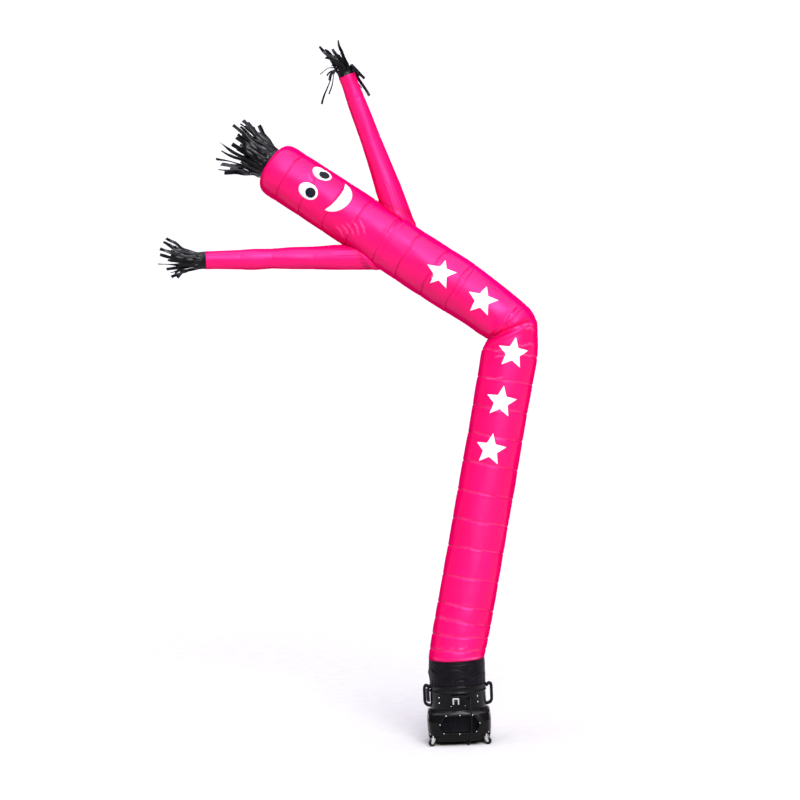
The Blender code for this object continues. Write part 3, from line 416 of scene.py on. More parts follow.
def make_steel():
    made = new_material("zinc_plated_steel", (0.66, 0.66, 0.64), 0.3, 0.95)
    tree = made[1]
    return dressed(made, ramp(tree, noise(tree, 120.0, 4.0), (0.5, 0.5, 0.49), (0.78, 0.78, 0.76)),
                   spread(tree, noise(tree, 300.0, 3.0), 0.22, 0.42),
                   ((noise(tree, 500.0, 3.0), 0.15, 0.0002),))


pink = make_pink()
ribbon_black = make_cloth("black_ribbon_cloth", (0.0018, 0.0018, 0.0024), (0.0038, 0.0038, 0.0048), 0.24,
                          gloss=0.13, Coat_Weight=0.03, Coat_Roughness=0.14)
band_black = make_cloth("black_band_cloth", (0.0028, 0.0022, 0.0038), (0.006, 0.0048, 0.0076), 0.46,
                        wrinkle=0.006, gloss=0.08)
white = make_cloth("white_cloth", (0.58, 0.58, 0.6), (0.64, 0.64, 0.65), 0.5, gloss=0.2)
rim_white = make_cloth("white_edge_cloth", (0.72, 0.72, 0.73), (0.78, 0.78, 0.79), 0.45, gloss=0.2)
pupil = make_cloth("pupil_cloth", (0.003, 0.004, 0.008), (0.006, 0.008, 0.014), 0.45, gloss=0.1)
case = make_plastic("black_moulded_plastic", (0.0016, 0.0016, 0.0018), (0.0034, 0.0034, 0.0036), 0.24,
                    gloss=0.14)
recess = make_plastic("recess_plastic", (0.0012, 0.0012, 0.0026), (0.0024, 0.0024, 0.005), 0.4,
                      gloss=0.1)
web = make_plastic("web_plastic", (0.01, 0.011, 0.024), (0.014, 0.015, 0.034), 0.4, gloss=0.2)
pale = make_plastic("pale_plastic", (0.36, 0.36, 0.35), (0.46, 0.46, 0.45), 0.35)
rubber = make_plastic("wheel_rubber", (0.003, 0.003, 0.003), (0.007, 0.007, 0.007), 0.5, gloss=0.2)
vinyl = make_plastic("cord_vinyl", (0.0016, 0.0016, 0.002), (0.003, 0.003, 0.0036), 0.34, gloss=0.2)
floor_paint = make_plastic("pale_floor", (0.455, 0.455, 0.438), (0.48, 0.48, 0.463), 0.9, gloss=0.1)
steel = make_steel()


# The cord: one line from the gland down the front, under the housing and into a flat coil with its plug.
GLAND = (0.097, 0.384)
GLAND_MOUTH_Y = -0.236
COIL_AT = (-0.02, 0.345)
COIL_R = 0.048
ARC_R = 0.038               # bends of the cord below the gland and at the floor
CORD_STEP = 0.0085          # spacing of the finished line's points
LOW = CORD_R + 0.0008       # the line's height where the cord lies on the floor
# the cord's bends from the gland to the coil. columns: x, y, z
CORD_ROUTE = (
    (GLAND[0], GLAND_MOUTH_Y - 0.002, GLAND[1]),
    (GLAND[0] + 0.0004, GLAND_MOUTH_Y - 0.002 - 0.5 * ARC_R, GLAND[1] - 0.134 * ARC_R),
    (GLAND[0] + 0.0012, GLAND_MOUTH_Y - 0.002 - 0.866 * ARC_R, GLAND[1] - 0.5 * ARC_R),
    (GLAND[0] + 0.0026, GLAND_MOUTH_Y - 0.002 - ARC_R, GLAND[1] - 1.02 * ARC_R),
    (0.104, -0.2735, 0.29),
    (0.104, -0.269, 0.21),
    (0.097, -0.2665, 0.125),
    (0.084, -0.264, 0.052),
    (0.078, -0.2535, 0.0215),
    (0.072, -0.232, 0.0072),
    (0.064, -0.2, LOW),
    (0.043, -0.11, LOW),
    (0.027, -0.01, LOW),
    (0.02, 0.1, LOW),
    (0.023, 0.2, LOW),
    (0.029, 0.27, LOW),
    (0.032, 0.31, LOW),
    (COIL_AT[0] + 0.0528, COIL_AT[1], LOW),
)


def smooth_route(points, spacing):
    """A smooth line through points, with even spacing."""
    pts = np.array(points, dtype=float)
    ext = np.vstack([2 * pts[0] - pts[1], pts, 2 * pts[-1] - pts[-2]])
    dense = []
    for i in range(1, len(ext) - 2):
        p0, p1, p2, p3 = ext[i - 1:i + 3]
        for u in np.linspace(0, 1, 40, endpoint=False):
            dense.append(0.5 * (2 * p1 + (p2 - p0) * u + (2 * p0 - 5 * p1 + 4 * p2 - p3) * u ** 2
                                + (3 * p1 - p0 - 3 * p2 + p3) * u ** 3))
    dense = np.array(dense + [pts[-1]])
    length = run_along(dense)[-1]
    return resampled(dense, np.linspace(0, length, max(2, int(round(length / spacing))) + 1))


def cord_line():
    """The route, then a coil of two turns side by side that climbs on itself, then the end at the plug."""
    turns = []
    # columns: turn of the coil, radius of the line, height of the line
    lay = np.array(((0.0, 0.0528, LOW), (0.25, 0.0528, LOW), (0.6, 0.052, LOW), (0.9, 0.0445, LOW),
                    (1.25, 0.043, LOW), (1.65, 0.043, LOW), (1.85, 0.0436, LOW + 0.0035),
                    (2.0, 0.046, LOW + 0.0078), (2.12, 0.0475, LOW + 0.008), (2.25, 0.048, LOW + 0.0078)))
    for k in np.linspace(0, lay[-1, 0], 120):
        r, z = (float(hermite(lay[:, 0], lay[:, c], np.array([k]))[0]) for c in (1, 2))
        a = 2 * math.pi * k
        turns.append((COIL_AT[0] + r * math.cos(a), COIL_AT[1] + r * math.sin(a), z))
    end = np.array(turns[-1])
    far = COIL_AT[1] + COIL_R
    tail = smooth_route([tuple(end), (COIL_AT[0] - 0.02, far + 0.0002, end[2] - 0.0012),
                         (COIL_AT[0] - 0.045, far + 0.0002, end[2] - 0.0026),
                         (COIL_AT[0] - 0.0735, far, 0.0102)], 0.004)
    line = np.concatenate([smooth_route(CORD_ROUTE, 0.004)[:-1], np.array(turns), tail[1:]])
    length = run_along(line)[-1]
    return resampled(line, np.linspace(0, length, int(length / CORD_STEP)))


def make_cord(line, with_pieces):
    curve = bpy.data.curves.new("mains_cord", "CURVE")
    curve.dimensions = "3D"
    curve.bevel_depth = CORD_R
    curve.bevel_resolution = 3
    curve.use_fill_caps = True
    spline = curve.splines.new("POLY")
    spline.points.add(len(line) - 1)
    for p, co in zip(spline.points, line + BLOWER):
        p.co = (*map(float, co), 1.0)
    spline.use_smooth = True
    curve.materials.append(vinyl)
    ob = new_object("mains_cord", curve)
    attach(ob, "root")
    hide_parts("power_cord", "cord_coil", "cord_tail")


def make_plug():
    """A moulded two-blade plug with a ribbed neck, lying flat behind the coil."""
    # columns: distance along the plug, half width, half height
    rows = rounded(((-0.03, 0.0052, 0.0052), (-0.027, 0.006, 0.006), (-0.0255, 0.0052, 0.0052),
                    (-0.023, 0.0064, 0.0064), (-0.0215, 0.0056, 0.0056), (-0.019, 0.0069, 0.0068),
                    (-0.0175, 0.006, 0.006), (-0.0145, 0.0072, 0.007), (-0.0085, 0.0124, 0.009),
                    (0.001, 0.0122, 0.0088), (0.012, 0.014, 0.0096), (0.018, 0.0136, 0.0092)), 0.0012, 2)
    a = angles(40)
    square = 0.62
    grid = []
    for along, half_w, half_h in rows:
        y = half_w * np.sign(np.cos(a)) * np.abs(np.cos(a)) ** square
        z = half_h * np.sign(np.sin(a)) * np.abs(np.sin(a)) ** square
        grid.append(np.stack([np.full(len(a), along), y, z], axis=1))
    centre = (COIL_AT[0] - 0.105, COIL_AT[1] + COIL_R)
    lift = np.array((0.0, 0.0, 0.0102))
    body, faces = placed(lofted(grid), *centre, math.pi)
    ob = add("mains_plug", body + lift, faces, vinyl, replaces="cord_plug")
    blades = []
    for side in (-1, 1):
        blade = soft_outline(((0.0175, -0.003), (0.0335, -0.003), (0.0345, -0.0018), (0.0345, 0.0018),
                              (0.0335, 0.003), (0.0175, 0.003)), 0.0006, 2)
        blades.append(slab(blade, side * 0.0063 - 0.0008, side * 0.0063 + 0.0008, 0.0002))
    body, faces = placed(joined(*blades), *centre, math.pi)
    pins = add("plug_blades", body + lift, faces, steel)
    return [ob, pins]


cord_route = cord_line()
make_cord(cord_route, make_plug())

# The dancer's tube.
SEAM = lean((0.0, 0.0, SEAM_Z))
KNEE = np.array((0.5986, 3.4287, SEAM[2]))
LEG = unit(KNEE - SEAM)
TORSO = unit((-0.7926, 0.5693, 0.2181))
TORSO_LENGTH = 2.478
LEG_SIDE = unit((LEG[1], -LEG[0], 0.0))
TORSO_SIDE = unit((TORSO[1], -TORSO[0], 0.0))
LEG_BACK = np.array((0.0, 0.0, 1.0))
TORSO_BACK = unit(np.cross(TORSO_SIDE, TORSO))
TORSO_BACK = TORSO_BACK if TORSO_BACK[2] > 0 else -TORSO_BACK
LEG_LINES = (0.076, 0.185, 0.303, 0.429, 0.664, 0.908, 1.135, 1.37, 1.614, 1.854, 2.085, 2.325, 2.552)
TORSO_LINES = (0.551, 0.798, 1.061, 1.289, 1.567, 1.807, 2.045, 2.274)
# columns: inner x, inner h, outer x, outer h, share of the turn, depth of the fold, angle of its middle
KINK = (
    (0.346, 3.279, 0.781, 3.229, 0.1, 0.0, 60),
    (0.356, 3.304, 0.783, 3.329, 0.3, 0.01, 60),
    (0.3585, 3.3145, 0.7775, 3.453, 0.5, 0.034, 66),
    (0.35, 3.323, 0.733, 3.54, 0.62, 0.004, 70),
    (0.319, 3.345, 0.662, 3.614, 0.74, 0.012, 84),
    (0.29, 3.364, 0.567, 3.7, 0.86, 0.004, 90),
    (0.198, 3.438, 0.457, 3.795, 0.95, 0.0, 90),
)
# the crown: distance back from the end plane, share of the tube's radius
CROWN = ((0.115, 1.0), (0.066, 0.975), (0.034, 0.915), (0.013, 0.82), (0.003, 0.69), (0.0, 0.525),
         (0.003, 0.3), (0.005, 0.07))


def leg_ring(s):
    w = min(1.0, s / 0.35)
    side = unit((1 - w) * np.array((1.0, 0.0, 0.0)) + w * LEG_SIDE)
    back = unit((1 - w) * lean((0.0, 1.0, 0.0)) + w * LEG_BACK)
    return SEAM + LEG * s, side * TUBE_R, back * TUBE_R, 0.0, 60.0


def torso_ring(s, share=1.0):
    return KNEE + TORSO * s, TORSO_SIDE * TUBE_R * share, TORSO_BACK * TUBE_R * share, 0.0, 90.0


def kink_ring(row):
    inner, outer = np.array((row[0], row[1], 0.0)), np.array((row[2], row[3], 0.0))
    side = (outer - inner) / 2
    centre = (outer + inner) / 2
    past = max(0.0, float(np.dot(centre[:2] - KNEE[:2], unit(TORSO[:2]))))
    centre[2] = KNEE[2] + past * TORSO[2] / math.hypot(TORSO[0], TORSO[1])
    back = (1 - row[4]) * LEG_BACK + row[4] * TORSO_BACK
    back -= unit(side) * np.dot(back, unit(side))
    return centre, side, unit(back) * TUBE_R * 1.02, row[5], row[6]


def tube_knots():
    """Places along the tube, and a ring at each as (centre, side, back, fold, fold angle)."""
    rings, place = [], []
    for s in (0.0, 0.06, 0.12, 0.18, 0.24, 0.3, 0.35, 0.45, 0.9, 1.5, 2.1, 2.4, LEG_LINES[-1]):
        rings.append(leg_ring(s))
        place.append(s)
    for row in KINK:
        rings.append(kink_ring(row))
        place.append(place[-1] + float(np.linalg.norm(rings[-1][0] - rings[-2][0])))
    rings.append(torso_ring(TORSO_LINES[0]))
    place.append(place[-1] + float(np.linalg.norm(rings[-1][0] - rings[-2][0])))
    start = place[-1] - TORSO_LINES[0]
    for s in (0.75, 1.2, 1.8, 2.15, 2.3):
        rings.append(torso_ring(s))
        place.append(start + s)
    last = (TORSO_LENGTH - 2.3, 1.0)
    for row in CROWN:
        rings.append(torso_ring(TORSO_LENGTH - row[0], row[1]))
        place.append(place[-1] + math.hypot(row[0] - last[0], (row[1] - last[1]) * TUBE_R))
        last = row
    flat = [np.concatenate([c, s, b, [f, g]]) for c, s, b, f, g in rings]
    return np.array(place), np.array(flat), start


PLACES, KNOTS, TORSO_START = tube_knots()
LINES = np.array(list(LEG_LINES) + [TORSO_START + s for s in TORSO_LINES])

# Folds of the tube, drawn where they show. columns: depth, half width, height of the ridge beside it,
# share of the drawn depth that goes round to the back, corners in pixels of the picture
FOLDS = (
    (0.026, 0.016, 0.01, 0.6, ((486.5, 340.0), (498, 335.5), (511, 329.5), (524, 323.5), (535.5, 318.5))),
    (0.013, 0.01, 0.005, 0.3, ((523.5, 302.5), (515, 311), (507.5, 320), (503.5, 330), (501.5, 336))),
    (0.008, 0.012, 0.004, 0.5, ((529.5, 303), (519, 312), (510.5, 322.5), (506, 333))),
    (0.007, 0.008, 0.003, 0.2, ((514.5, 319.5), (505, 324.5), (496, 330), (488.5, 339))),
    (0.011, 0.012, 0.007, 0.8, ((376, 260.5), (381, 249), (388.5, 236.5), (397, 224), (408.5, 208.5))),
    (0.007, 0.008, 0.004, 0.5, ((380.5, 256.5), (386, 246), (393.5, 233.5), (400.5, 222.5), (409.5, 212))),
    (0.008, 0.007, 0.003, 0.5, ((395.5, 231), (400, 222.5), (404.5, 216), (409.5, 209))),
    (0.006, 0.007, 0.003, 0.5, ((425.5, 234.5), (417, 246), (409, 256.5), (404, 263.5))),
    (0.006, 0.007, 0.003, 0.5, ((447.5, 255.5), (440.5, 265.5), (433.5, 276), (427, 286.5))),
    (0.006, 0.007, 0.003, 0.5, ((476, 268), (469, 277), (461, 286.5), (453.5, 296.5))),
    (0.005, 0.007, 0.003, 0.5, ((374.5, 202.5), (370, 208), (365, 215.5))),
    (0.005, 0.006, 0.002, 0.0, ((494, 288), (498.5, 290.5), (502, 286.5))),
)
# Fine wrinkles, each with a painted highlight along it. columns: height of the ridge, half width, corners
# in pixels
WRINKLES = (
    (0.003, 0.0045, ((493, 352), (500, 350.5), (507, 351.5), (514, 350.8))),
    (0.003, 0.0045, ((494, 357), (500.5, 356), (506, 356.5))),
    (0.0026, 0.0045, ((516, 345), (523, 345.8), (529, 344), (535, 345.5))),
    (0.0026, 0.0045, ((513, 353), (522, 354.5), (530, 356.5), (535, 355.5))),
    (0.0028, 0.0045, ((521, 325), (528, 324), (534, 326))),
    (0.0026, 0.0045, ((524, 329), (530, 328), (535, 331))),
    (0.0028, 0.0045, ((484, 378), (494, 379), (504, 377.5))),
    (0.0026, 0.0045, ((434.5, 647.5), (439, 648.2), (443, 648))),
    (0.0026, 0.0045, ((447.5, 646), (451, 647.6), (455, 647.2))),
    (0.0026, 0.0045, ((458, 648.5), (463, 648), (467, 646))),
    (0.003, 0.0055, ((431.5, 656.5), (436, 659), (443, 660.3), (455, 660.2), (470, 658.6),
                     (484.5, 655.6))),
    (0.0026, 0.0045, ((341, 224), (346, 229), (349, 236))),
    (0.0026, 0.0045, ((346, 222), (351, 228), (354, 236))),
    (0.0026, 0.0045, ((352, 220), (357, 227), (359, 236))),
    (0.0022, 0.0045, ((335, 225), (340, 230), (343, 238))),
    (0.0024, 0.0045, ((359, 219), (363, 226), (365, 235))),
    (0.0022, 0.004, ((307.5, 172), (310, 178), (313, 182))),
    (0.0022, 0.004, ((312, 170), (315, 176), (319, 180))),
    (0.0022, 0.004, ((317, 169), (320.5, 174), (325, 178))),
)


def line_distance(p, corners):
    """Signed distance in metres of pixel points from a line of corners, and how far along they are."""
    corners = np.array(corners, dtype=float)
    best = np.full(p.shape[:-1], 1e9)
    signed = np.zeros(p.shape[:-1])
    share = np.zeros(p.shape[:-1])
    lengths = np.linalg.norm(np.diff(corners, axis=0), axis=1)
    total, run = lengths.sum(), 0.0
    for a, b, length in zip(corners[:-1], corners[1:], lengths):
        d = (b - a) / length
        rel = p - a
        u = np.clip(rel @ d, 0, length)
        off = rel - u[..., None] * d
        dist = np.linalg.norm(off, axis=-1)
        near = dist < best
        side = np.sign(d[0] * rel[..., 1] - d[1] * rel[..., 0])
        best = np.where(near, dist, best)
        signed = np.where(near, side * dist, signed)
        share = np.where(near, (run + u) / total, share)
        run += length
    return signed * METRES_PER_PIXEL, best * METRES_PER_PIXEL, share


def soft(x):
    return np.exp(-x * x)


def drawn_lift(view, facing, folds, wrinkles):
    """Lift of a skin from folds drawn where the picture shows them; the far side gets a share of each.
    Also a painted highlight along each wrinkle, on the near side only.
    """
    front = np.clip(facing * 1.6, 0.0, 1.0)
    rear = np.clip(-facing * 1.6, 0.0, 1.0)
    drawn, light = np.zeros(facing.shape), np.zeros(facing.shape)
    for depth, half, ridge, behind, corners in folds:
        d, dist, u = line_distance(view, corners)
        ends = np.clip(u / 0.12, 0.25, 1) * np.clip((1 - u) / 0.12, 0.25, 1)
        outside = np.maximum(dist - np.abs(d), 0)
        ridges = soft((d - 2.1 * half) / (1.2 * half)) + 0.5 * soft((d + 2.4 * half) / (1.6 * half))
        shape = ridge * ridges * soft(outside / half) - depth * soft(dist / half)
        drawn += shape * ends * (front + behind * rear + 0.5 * (1 - front - rear))
    for height, half, corners in wrinkles:
        d, dist, u = line_distance(view, corners)
        ends = np.clip(u / 0.2, 0, 1) * np.clip((1 - u) / 0.2, 0, 1)
        shape = (height * soft(dist / half) - 0.5 * height * soft((dist - 2 * half) / half)) * ends
        drawn += shape * (front + 0.5 * rear)
        # painted highlight along the wrinkle, on the near side only
        light = np.maximum(light, 0.5 * soft(dist / half) * ends * front)
    return drawn, light


def tube_stations():
    end = PLACES[-1]
    kink_from, kink_to = LEG_LINES[-1] - 0.05, TORSO_START + 0.6
    crown_from = TORSO_START + TORSO_LENGTH - 0.115
    coarse = [s for s in np.arange(0.0, crown_from, 0.0165) if not kink_from < s < kink_to]
    fine = list(np.arange(kink_from, kink_to, 0.0075))
    crown = list(np.linspace(crown_from, end, 26))
    beside = (-0.012, -0.007, -0.0035, 0.0, 0.0035, 0.007, 0.012)
    near = [float(line + d) for line in LINES for d in beside]
    kept = []
    for s in sorted(coarse + fine + crown + near):
        if not kept or s - kept[-1] > 0.0024:
            kept.append(s)
    kept[-1] = end
    return np.array(kept)


FOLD_SPREAD = 48.0                       # degrees round the tube that the kink's fold reaches
PANEL_BULGE = 0.0028
STITCH_DEPTH, STITCH_HALF = 0.0044, 0.0055
PUCKER = 0.0009
# slow unevenness of the whole tube. columns: waves round it, radians along it per metre, phase, size
UNEVEN = ((2, 2.1, 0.4, 0.0016), (3, -3.3, 1.9, 0.0014), (5, 4.7, 2.6, 0.001), (4, -6.1, 4.1, 0.0009),
          (8, 9.0, 0.3, 0.0005), (11, -13.0, 5.0, 0.0004))


def tube_surface(n=150):
    """The tube's outer skin as rings, the painted highlight of each point along creases, and its darkening
    along seams: stitched tape and painted shade.
    """
    at = tube_stations()
    knots = hermite(PLACES, KNOTS, at)
    centre, side, back = knots[:, None, 0:3], knots[:, None, 3:6], knots[:, None, 6:9]
    fold, fold_at = knots[:, None, 9], knots[:, None, 10]
    a = angles(n)[None, :]
    s = at[:, None]
    off = np.degrees(np.arccos(np.cos(a))) - fold_at
    lift = -np.maximum(fold, 0.0) * soft(off / FOLD_SPREAD)
    # panels bulge a little between sewn lines, and pucker beside them
    edge = np.concatenate([[0.0], LINES, [TORSO_START + TORSO_LENGTH - 0.02]])
    i = np.clip(np.searchsorted(edge, at, side="right") - 1, 0, len(edge) - 2)
    frac = ((at - edge[i]) / (edge[i + 1] - edge[i]))[:, None]
    calm = np.where((s > LEG_LINES[-1]) & (s < TORSO_START + TORSO_LINES[0]), 0.25, 1.0)
    calm = calm * np.clip((PLACES[-1] - s - 0.14) / 0.1, 0.0, 1.0)
    lift = lift + calm * PANEL_BULGE * np.sin(math.pi * np.clip(frac, 0, 1)) ** 0.6
    light, seam_tape_and_shade_marks = np.zeros((len(at), n)), np.zeros((len(at), n))
    for k, line in enumerate(LINES):
        wander = 0.0035 * np.sin(a + k) + 0.0022 * np.sin(3 * a + 2 * k) + 0.0012 * np.sin(7 * a + 5 * k)
        d = s - line - wander
        lift = lift - STITCH_DEPTH * soft(d / STITCH_HALF)
        lift = lift + 0.0012 * (soft((d - 0.014) / 0.006) + soft((d + 0.014) / 0.006))
        for m, wave in ((17, 0.9), (29, 0.55)):
            lift = lift + PUCKER * wave * np.sin(m * a + 3.7 * k + 1.3 * m + 9 * d) * soft(d / 0.05)
        strength = 0.55 + 0.45 * np.sin(2 * a + 1.9 * k) * np.sin(5 * a + 0.7 * k)
        on_leg = k < len(LEG_LINES)
        glow = 0.4 if on_leg else 0.0
        # the sewn lines painted darker: stitched tape and painted shade in the groove
        seam_tape_and_shade_marks = np.maximum(seam_tape_and_shade_marks, (0.25 if on_leg else 0.62) * soft(d / 0.0042))
        # a painted highlight just beside each sewn line of the leg
        light = np.maximum(light, glow * soft((d - 0.004) / 0.0042) * np.clip(strength, 0, 1))
    for m, q, phase, size in UNEVEN:
        lift = lift + size * np.sin(m * a + q * s + phase)
    direction = -side * np.cos(a)[..., None] - back * np.sin(a)[..., None]
    radial = unit(direction)
    points = centre + direction + radial * lift[..., None]
    drawn, glints = drawn_lift(pixels(points), np.sin(a) + 0 * lift, FOLDS, WRINKLES)
    points = points + radial * drawn[..., None]
    return lean(points), np.maximum(light, glints), seam_tape_and_shade_marks


skin_grid, skin_light, skin_seam_tape_and_shade = tube_surface()
body = shell("dancer_tube", skin_grid, pink, values={"painted_crease_highlight": skin_light, "seam_tape_and_shade": skin_seam_tape_and_shade},
             replaces="body_tube")
skin = BVHTree.FromPolygons([Vector(v) for v in skin_grid.reshape(-1, 3)],
                            rings_to_faces(len(skin_grid), skin_grid.shape[1]))

# Sleeves: centre line and radius. Each lies at one t. columns: x, h, radius
LEVEL_SLEEVE = tuple((x, h, 0.196, r) for x, h, r in (
    (-0.815, 4.045, 0.104), (-0.885, 4.047, 0.1035), (-0.97, 4.048, 0.0985), (-1.05, 4.05, 0.095),
    (-1.22, 4.054, 0.092), (-1.39, 4.057, 0.084), (-1.565, 4.06, 0.087), (-1.65, 4.062, 0.082),
    (-1.73, 4.064, 0.079), (-1.9, 4.067, 0.075), (-1.938, 4.067, 0.0745)))
RAISED_SLEEVE = tuple((x, h, 0.205, r) for x, h, r in (
    (-0.404, 4.604, 0.107), (-0.44, 4.724, 0.099), (-0.477, 4.843, 0.0925), (-0.529, 5.001, 0.085),
    (-0.605, 5.238, 0.08), (-0.643, 5.357, 0.076), (-0.68, 5.476, 0.07), (-0.707, 5.552, 0.071)))


def sleeve(name, rows, toward, flare, node_name, n=84):
    """A tapered sleeve whose root is trimmed to the tube's skin, with a puckered seam there."""
    rows = np.array(rows)
    run = run_along(rows[:, :3])
    at = np.unique(np.concatenate([np.arange(0, run[-1], 0.012), [run[-1]]]))
    made = hermite(run, rows, at)
    centre, radius = made[:, None, :3], made[:, None, 3]
    tangent = unit(np.gradient(made[:, :3], axis=0))
    side = unit(np.stack([tangent[:, 1], -tangent[:, 0], 0 * tangent[:, 0]], axis=-1))[:, None]
    back = np.array((0.0, 0.0, 1.0))
    a = angles(n)[None, :]
    s = at[:, None]
    lift = 0.0012 * np.sin(3 * a + 5 * s) + 0.0008 * np.sin(5 * a - 11 * s + 1.0)
    for k, line in enumerate(run[3:-2:2]):
        d = s - line - 0.003 * np.sin(a + k) - 0.0015 * np.sin(4 * a + k)
        lift = lift - 0.0022 * soft(d / 0.006) + 0.0006 * np.sin(13 * a + k) * soft(d / 0.04)
    wrist = run[-1] - s
    lift = lift + (0.0012 * np.sin(15 * a) + 0.0008 * np.sin(22 * a + 1)) * soft(wrist / 0.03)
    lift = lift + 0.0012 * np.sin(19 * a + 2) * soft(s / 0.05)
    spokes = np.cos(a)[..., None] * side + np.sin(a)[..., None] * back
    grid = lean(centre + (radius + lift)[..., None] * spokes)
    toward = unit(lean(np.array(toward)))
    middle = grid[0].mean(axis=0)
    reach = np.linalg.norm(grid[0][0] - middle)
    root, foot = [], []
    for p in grid[0]:
        d = Vector(unit(toward + flare * (p - middle) / reach))
        hit, normal, _, _ = skin.ray_cast(Vector(p), d)
        root.append(np.array(hit) - 0.0008 / max(0.3, abs(normal.dot(d))) * np.array(d))
        foot.append(np.array(normal))
    root = np.array(root)
    steps = 9
    bridge = [root + (grid[0] - root) * (k / steps) for k in range(steps)]
    # a sewn roll where the sleeve meets the skin
    spoke = unit(grid[0] - middle)
    bridge[1] = bridge[1] + spoke * 0.0035
    bridge[2] = bridge[2] - spoke * 0.0015
    full = np.concatenate([np.array(bridge), grid])
    # the sewn roll painted darker: stitched tape and painted shade
    seam_tape_and_shade_marks = np.zeros(full.shape[:2])
    seam_tape_and_shade_marks[2:4] = 0.5
    return shell(name, full, pink, coarse=(3, 3), values={"seam_tape_and_shade": seam_tape_and_shade_marks}, replaces=node_name)


level = sleeve("level_sleeve", LEVEL_SLEEVE, (1.0, -0.02, 0.0), 0.02, "sleeve_level")
raised = sleeve("raised_sleeve", RAISED_SLEEVE, (0.29, -0.95, -0.03), 0.02, "sleeve_raised")

# Sewn-on shapes, laid along and around the tube.
def tube_frame(origin, axis, front, across, s0, angle0):
    def ray(u, v):
        a = angle0 + v / TUBE_R
        return lean(origin + axis * (s0 + u)), lean(-front * math.cos(a) + across * math.sin(a))
    return ray


def torso_frame(s0, angle0):
    return tube_frame(KNEE, TORSO, TORSO_BACK, TORSO_SIDE, s0, angle0)


def leg_frame(s0, angle0):
    return tube_frame(SEAM, LEG, LEG_BACK, LEG_SIDE, s0, angle0)


def on_skin(ray, u, v):
    base, d = ray(u, v)
    hit = skin.ray_cast(Vector(base + 0.8 * d), Vector(-d))[0]
    return np.array(hit), np.array(d)


def applique(name, rows, closed, ray, lift, mat, thick=0.0009, hem=0.0, replaces=None):
    """A thin shape over the skin. rows of (along, around): rings from the middle out, or open columns."""
    rows = np.array(rows, dtype=float)
    count, n = rows.shape[:2]
    top, low = np.zeros((2, count, n, 3))
    for i in range(count):
        for j in range(n):
            hit, d = on_skin(ray, *rows[i, j])
            if closed:
                rim = i / (count - 1)
            else:
                rim = max(abs(2 * i / (count - 1) - 1), abs(2 * j / (n - 1) - 1))
            roll = hem * math.exp(-((1.0 - rim) / 0.1) ** 2) - 0.5 * thick * (rim > 0.999)
            low[i, j] = hit + d * lift
            top[i, j] = hit + d * (lift + thick + roll)
    back = 0 if closed else 1
    grid = np.concatenate([top, np.flip(low, axis=back)], axis=back)
    add(name, *lofted(grid), mat, replaces=replaces)


def rings_in(outline, steps):
    outline = np.array(outline)
    middle = outline.mean(axis=0)
    return [middle + (outline - middle) * share for share in np.linspace(0.04, 1.0, steps)]


def oval(along, around, n=72):
    a = angles(n)
    return np.stack([along / 2 * np.cos(a), around / 2 * np.sin(a)], axis=1)


def star(radius, waist=0.45, per_side=9):
    a = angles(10)
    r = np.where(np.arange(10) % 2 == 0, radius, radius * waist)
    corners = np.stack([r * np.cos(a), r * np.sin(a)], axis=1)
    points = []
    for p, q in zip(corners, np.roll(corners, -1, axis=0)):
        points += [p + (q - p) * k / per_side for k in range(per_side)]
    return np.array(points)


FIELD_T = 0.0004                             # thickness of the white fields over their hems
ON_SKIN, ON_HEM, ON_FIELD = 0.0006, 0.0016, 0.0022      # how far a shape lies over the skin
for tag, degrees in (("low", -4.0), ("high", 47.0)):
    angle = math.radians(degrees)
    eye = torso_frame(TORSO_LENGTH - 0.442, angle)
    applique("eye_edge_" + tag, rings_in(oval(0.174, 0.132), 12), True, eye, ON_SKIN, rim_white,
             replaces="eye_" + tag)
    applique("eye_white_" + tag, rings_in(oval(0.158, 0.118), 12), True, eye, ON_HEM, white, thick=FIELD_T)
    eye = torso_frame(TORSO_LENGTH - 0.465, angle)
    applique("pupil_edge_" + tag, rings_in(oval(0.091, 0.083), 8), True, eye, ON_FIELD, pupil, hem=0.0004,
             replaces="pupil_" + tag)

SMILE_ENDS = (-17.7, 60.4)                   # degrees round the tube
SMILE_AT = TORSO_LENGTH - 0.648              # where the line between the mouth's corners crosses the torso


def smile_rows(grow=0.0, columns=56, rows=8):
    deep, shallow = 0.133, 0.041
    half = math.radians(SMILE_ENDS[1] - SMILE_ENDS[0]) / 2 * TUBE_R - grow
    table = []
    for x in np.linspace(-1, 1, columns + 1):
        bow = max(1 - x * x, 0.0)
        lower, upper = -deep * bow ** 0.62 - 0.004 + grow, -shallow * bow + 0.004 - grow
        table.append([(upper + (lower - upper) * m / rows, x * half) for m in range(rows + 1)])
    return table


mouth = torso_frame(SMILE_AT, math.radians(sum(SMILE_ENDS) / 2))
applique("smile_edge", smile_rows(), False, mouth, ON_SKIN, rim_white, replaces="smile")
applique("smile_white", smile_rows(0.005), False, mouth, ON_HEM, white, thick=FIELD_T)

# columns: frame, distance along it, shift round the tube
STARS = ((torso_frame, 0.712, 0.014), (torso_frame, 0.292, 0.014), (leg_frame, 2.56, 0.024),
         (leg_frame, 2.147, -0.004), (leg_frame, 1.744, -0.024))
for i, (frame_at, s, shift) in enumerate(STARS, 1):
    applique(f"white_star_{i}", rings_in(star(0.135), 12), True, frame_at(s, shift / TUBE_R), ON_SKIN,
             rim_white, hem=0.0005, replaces=f"star_{i}")

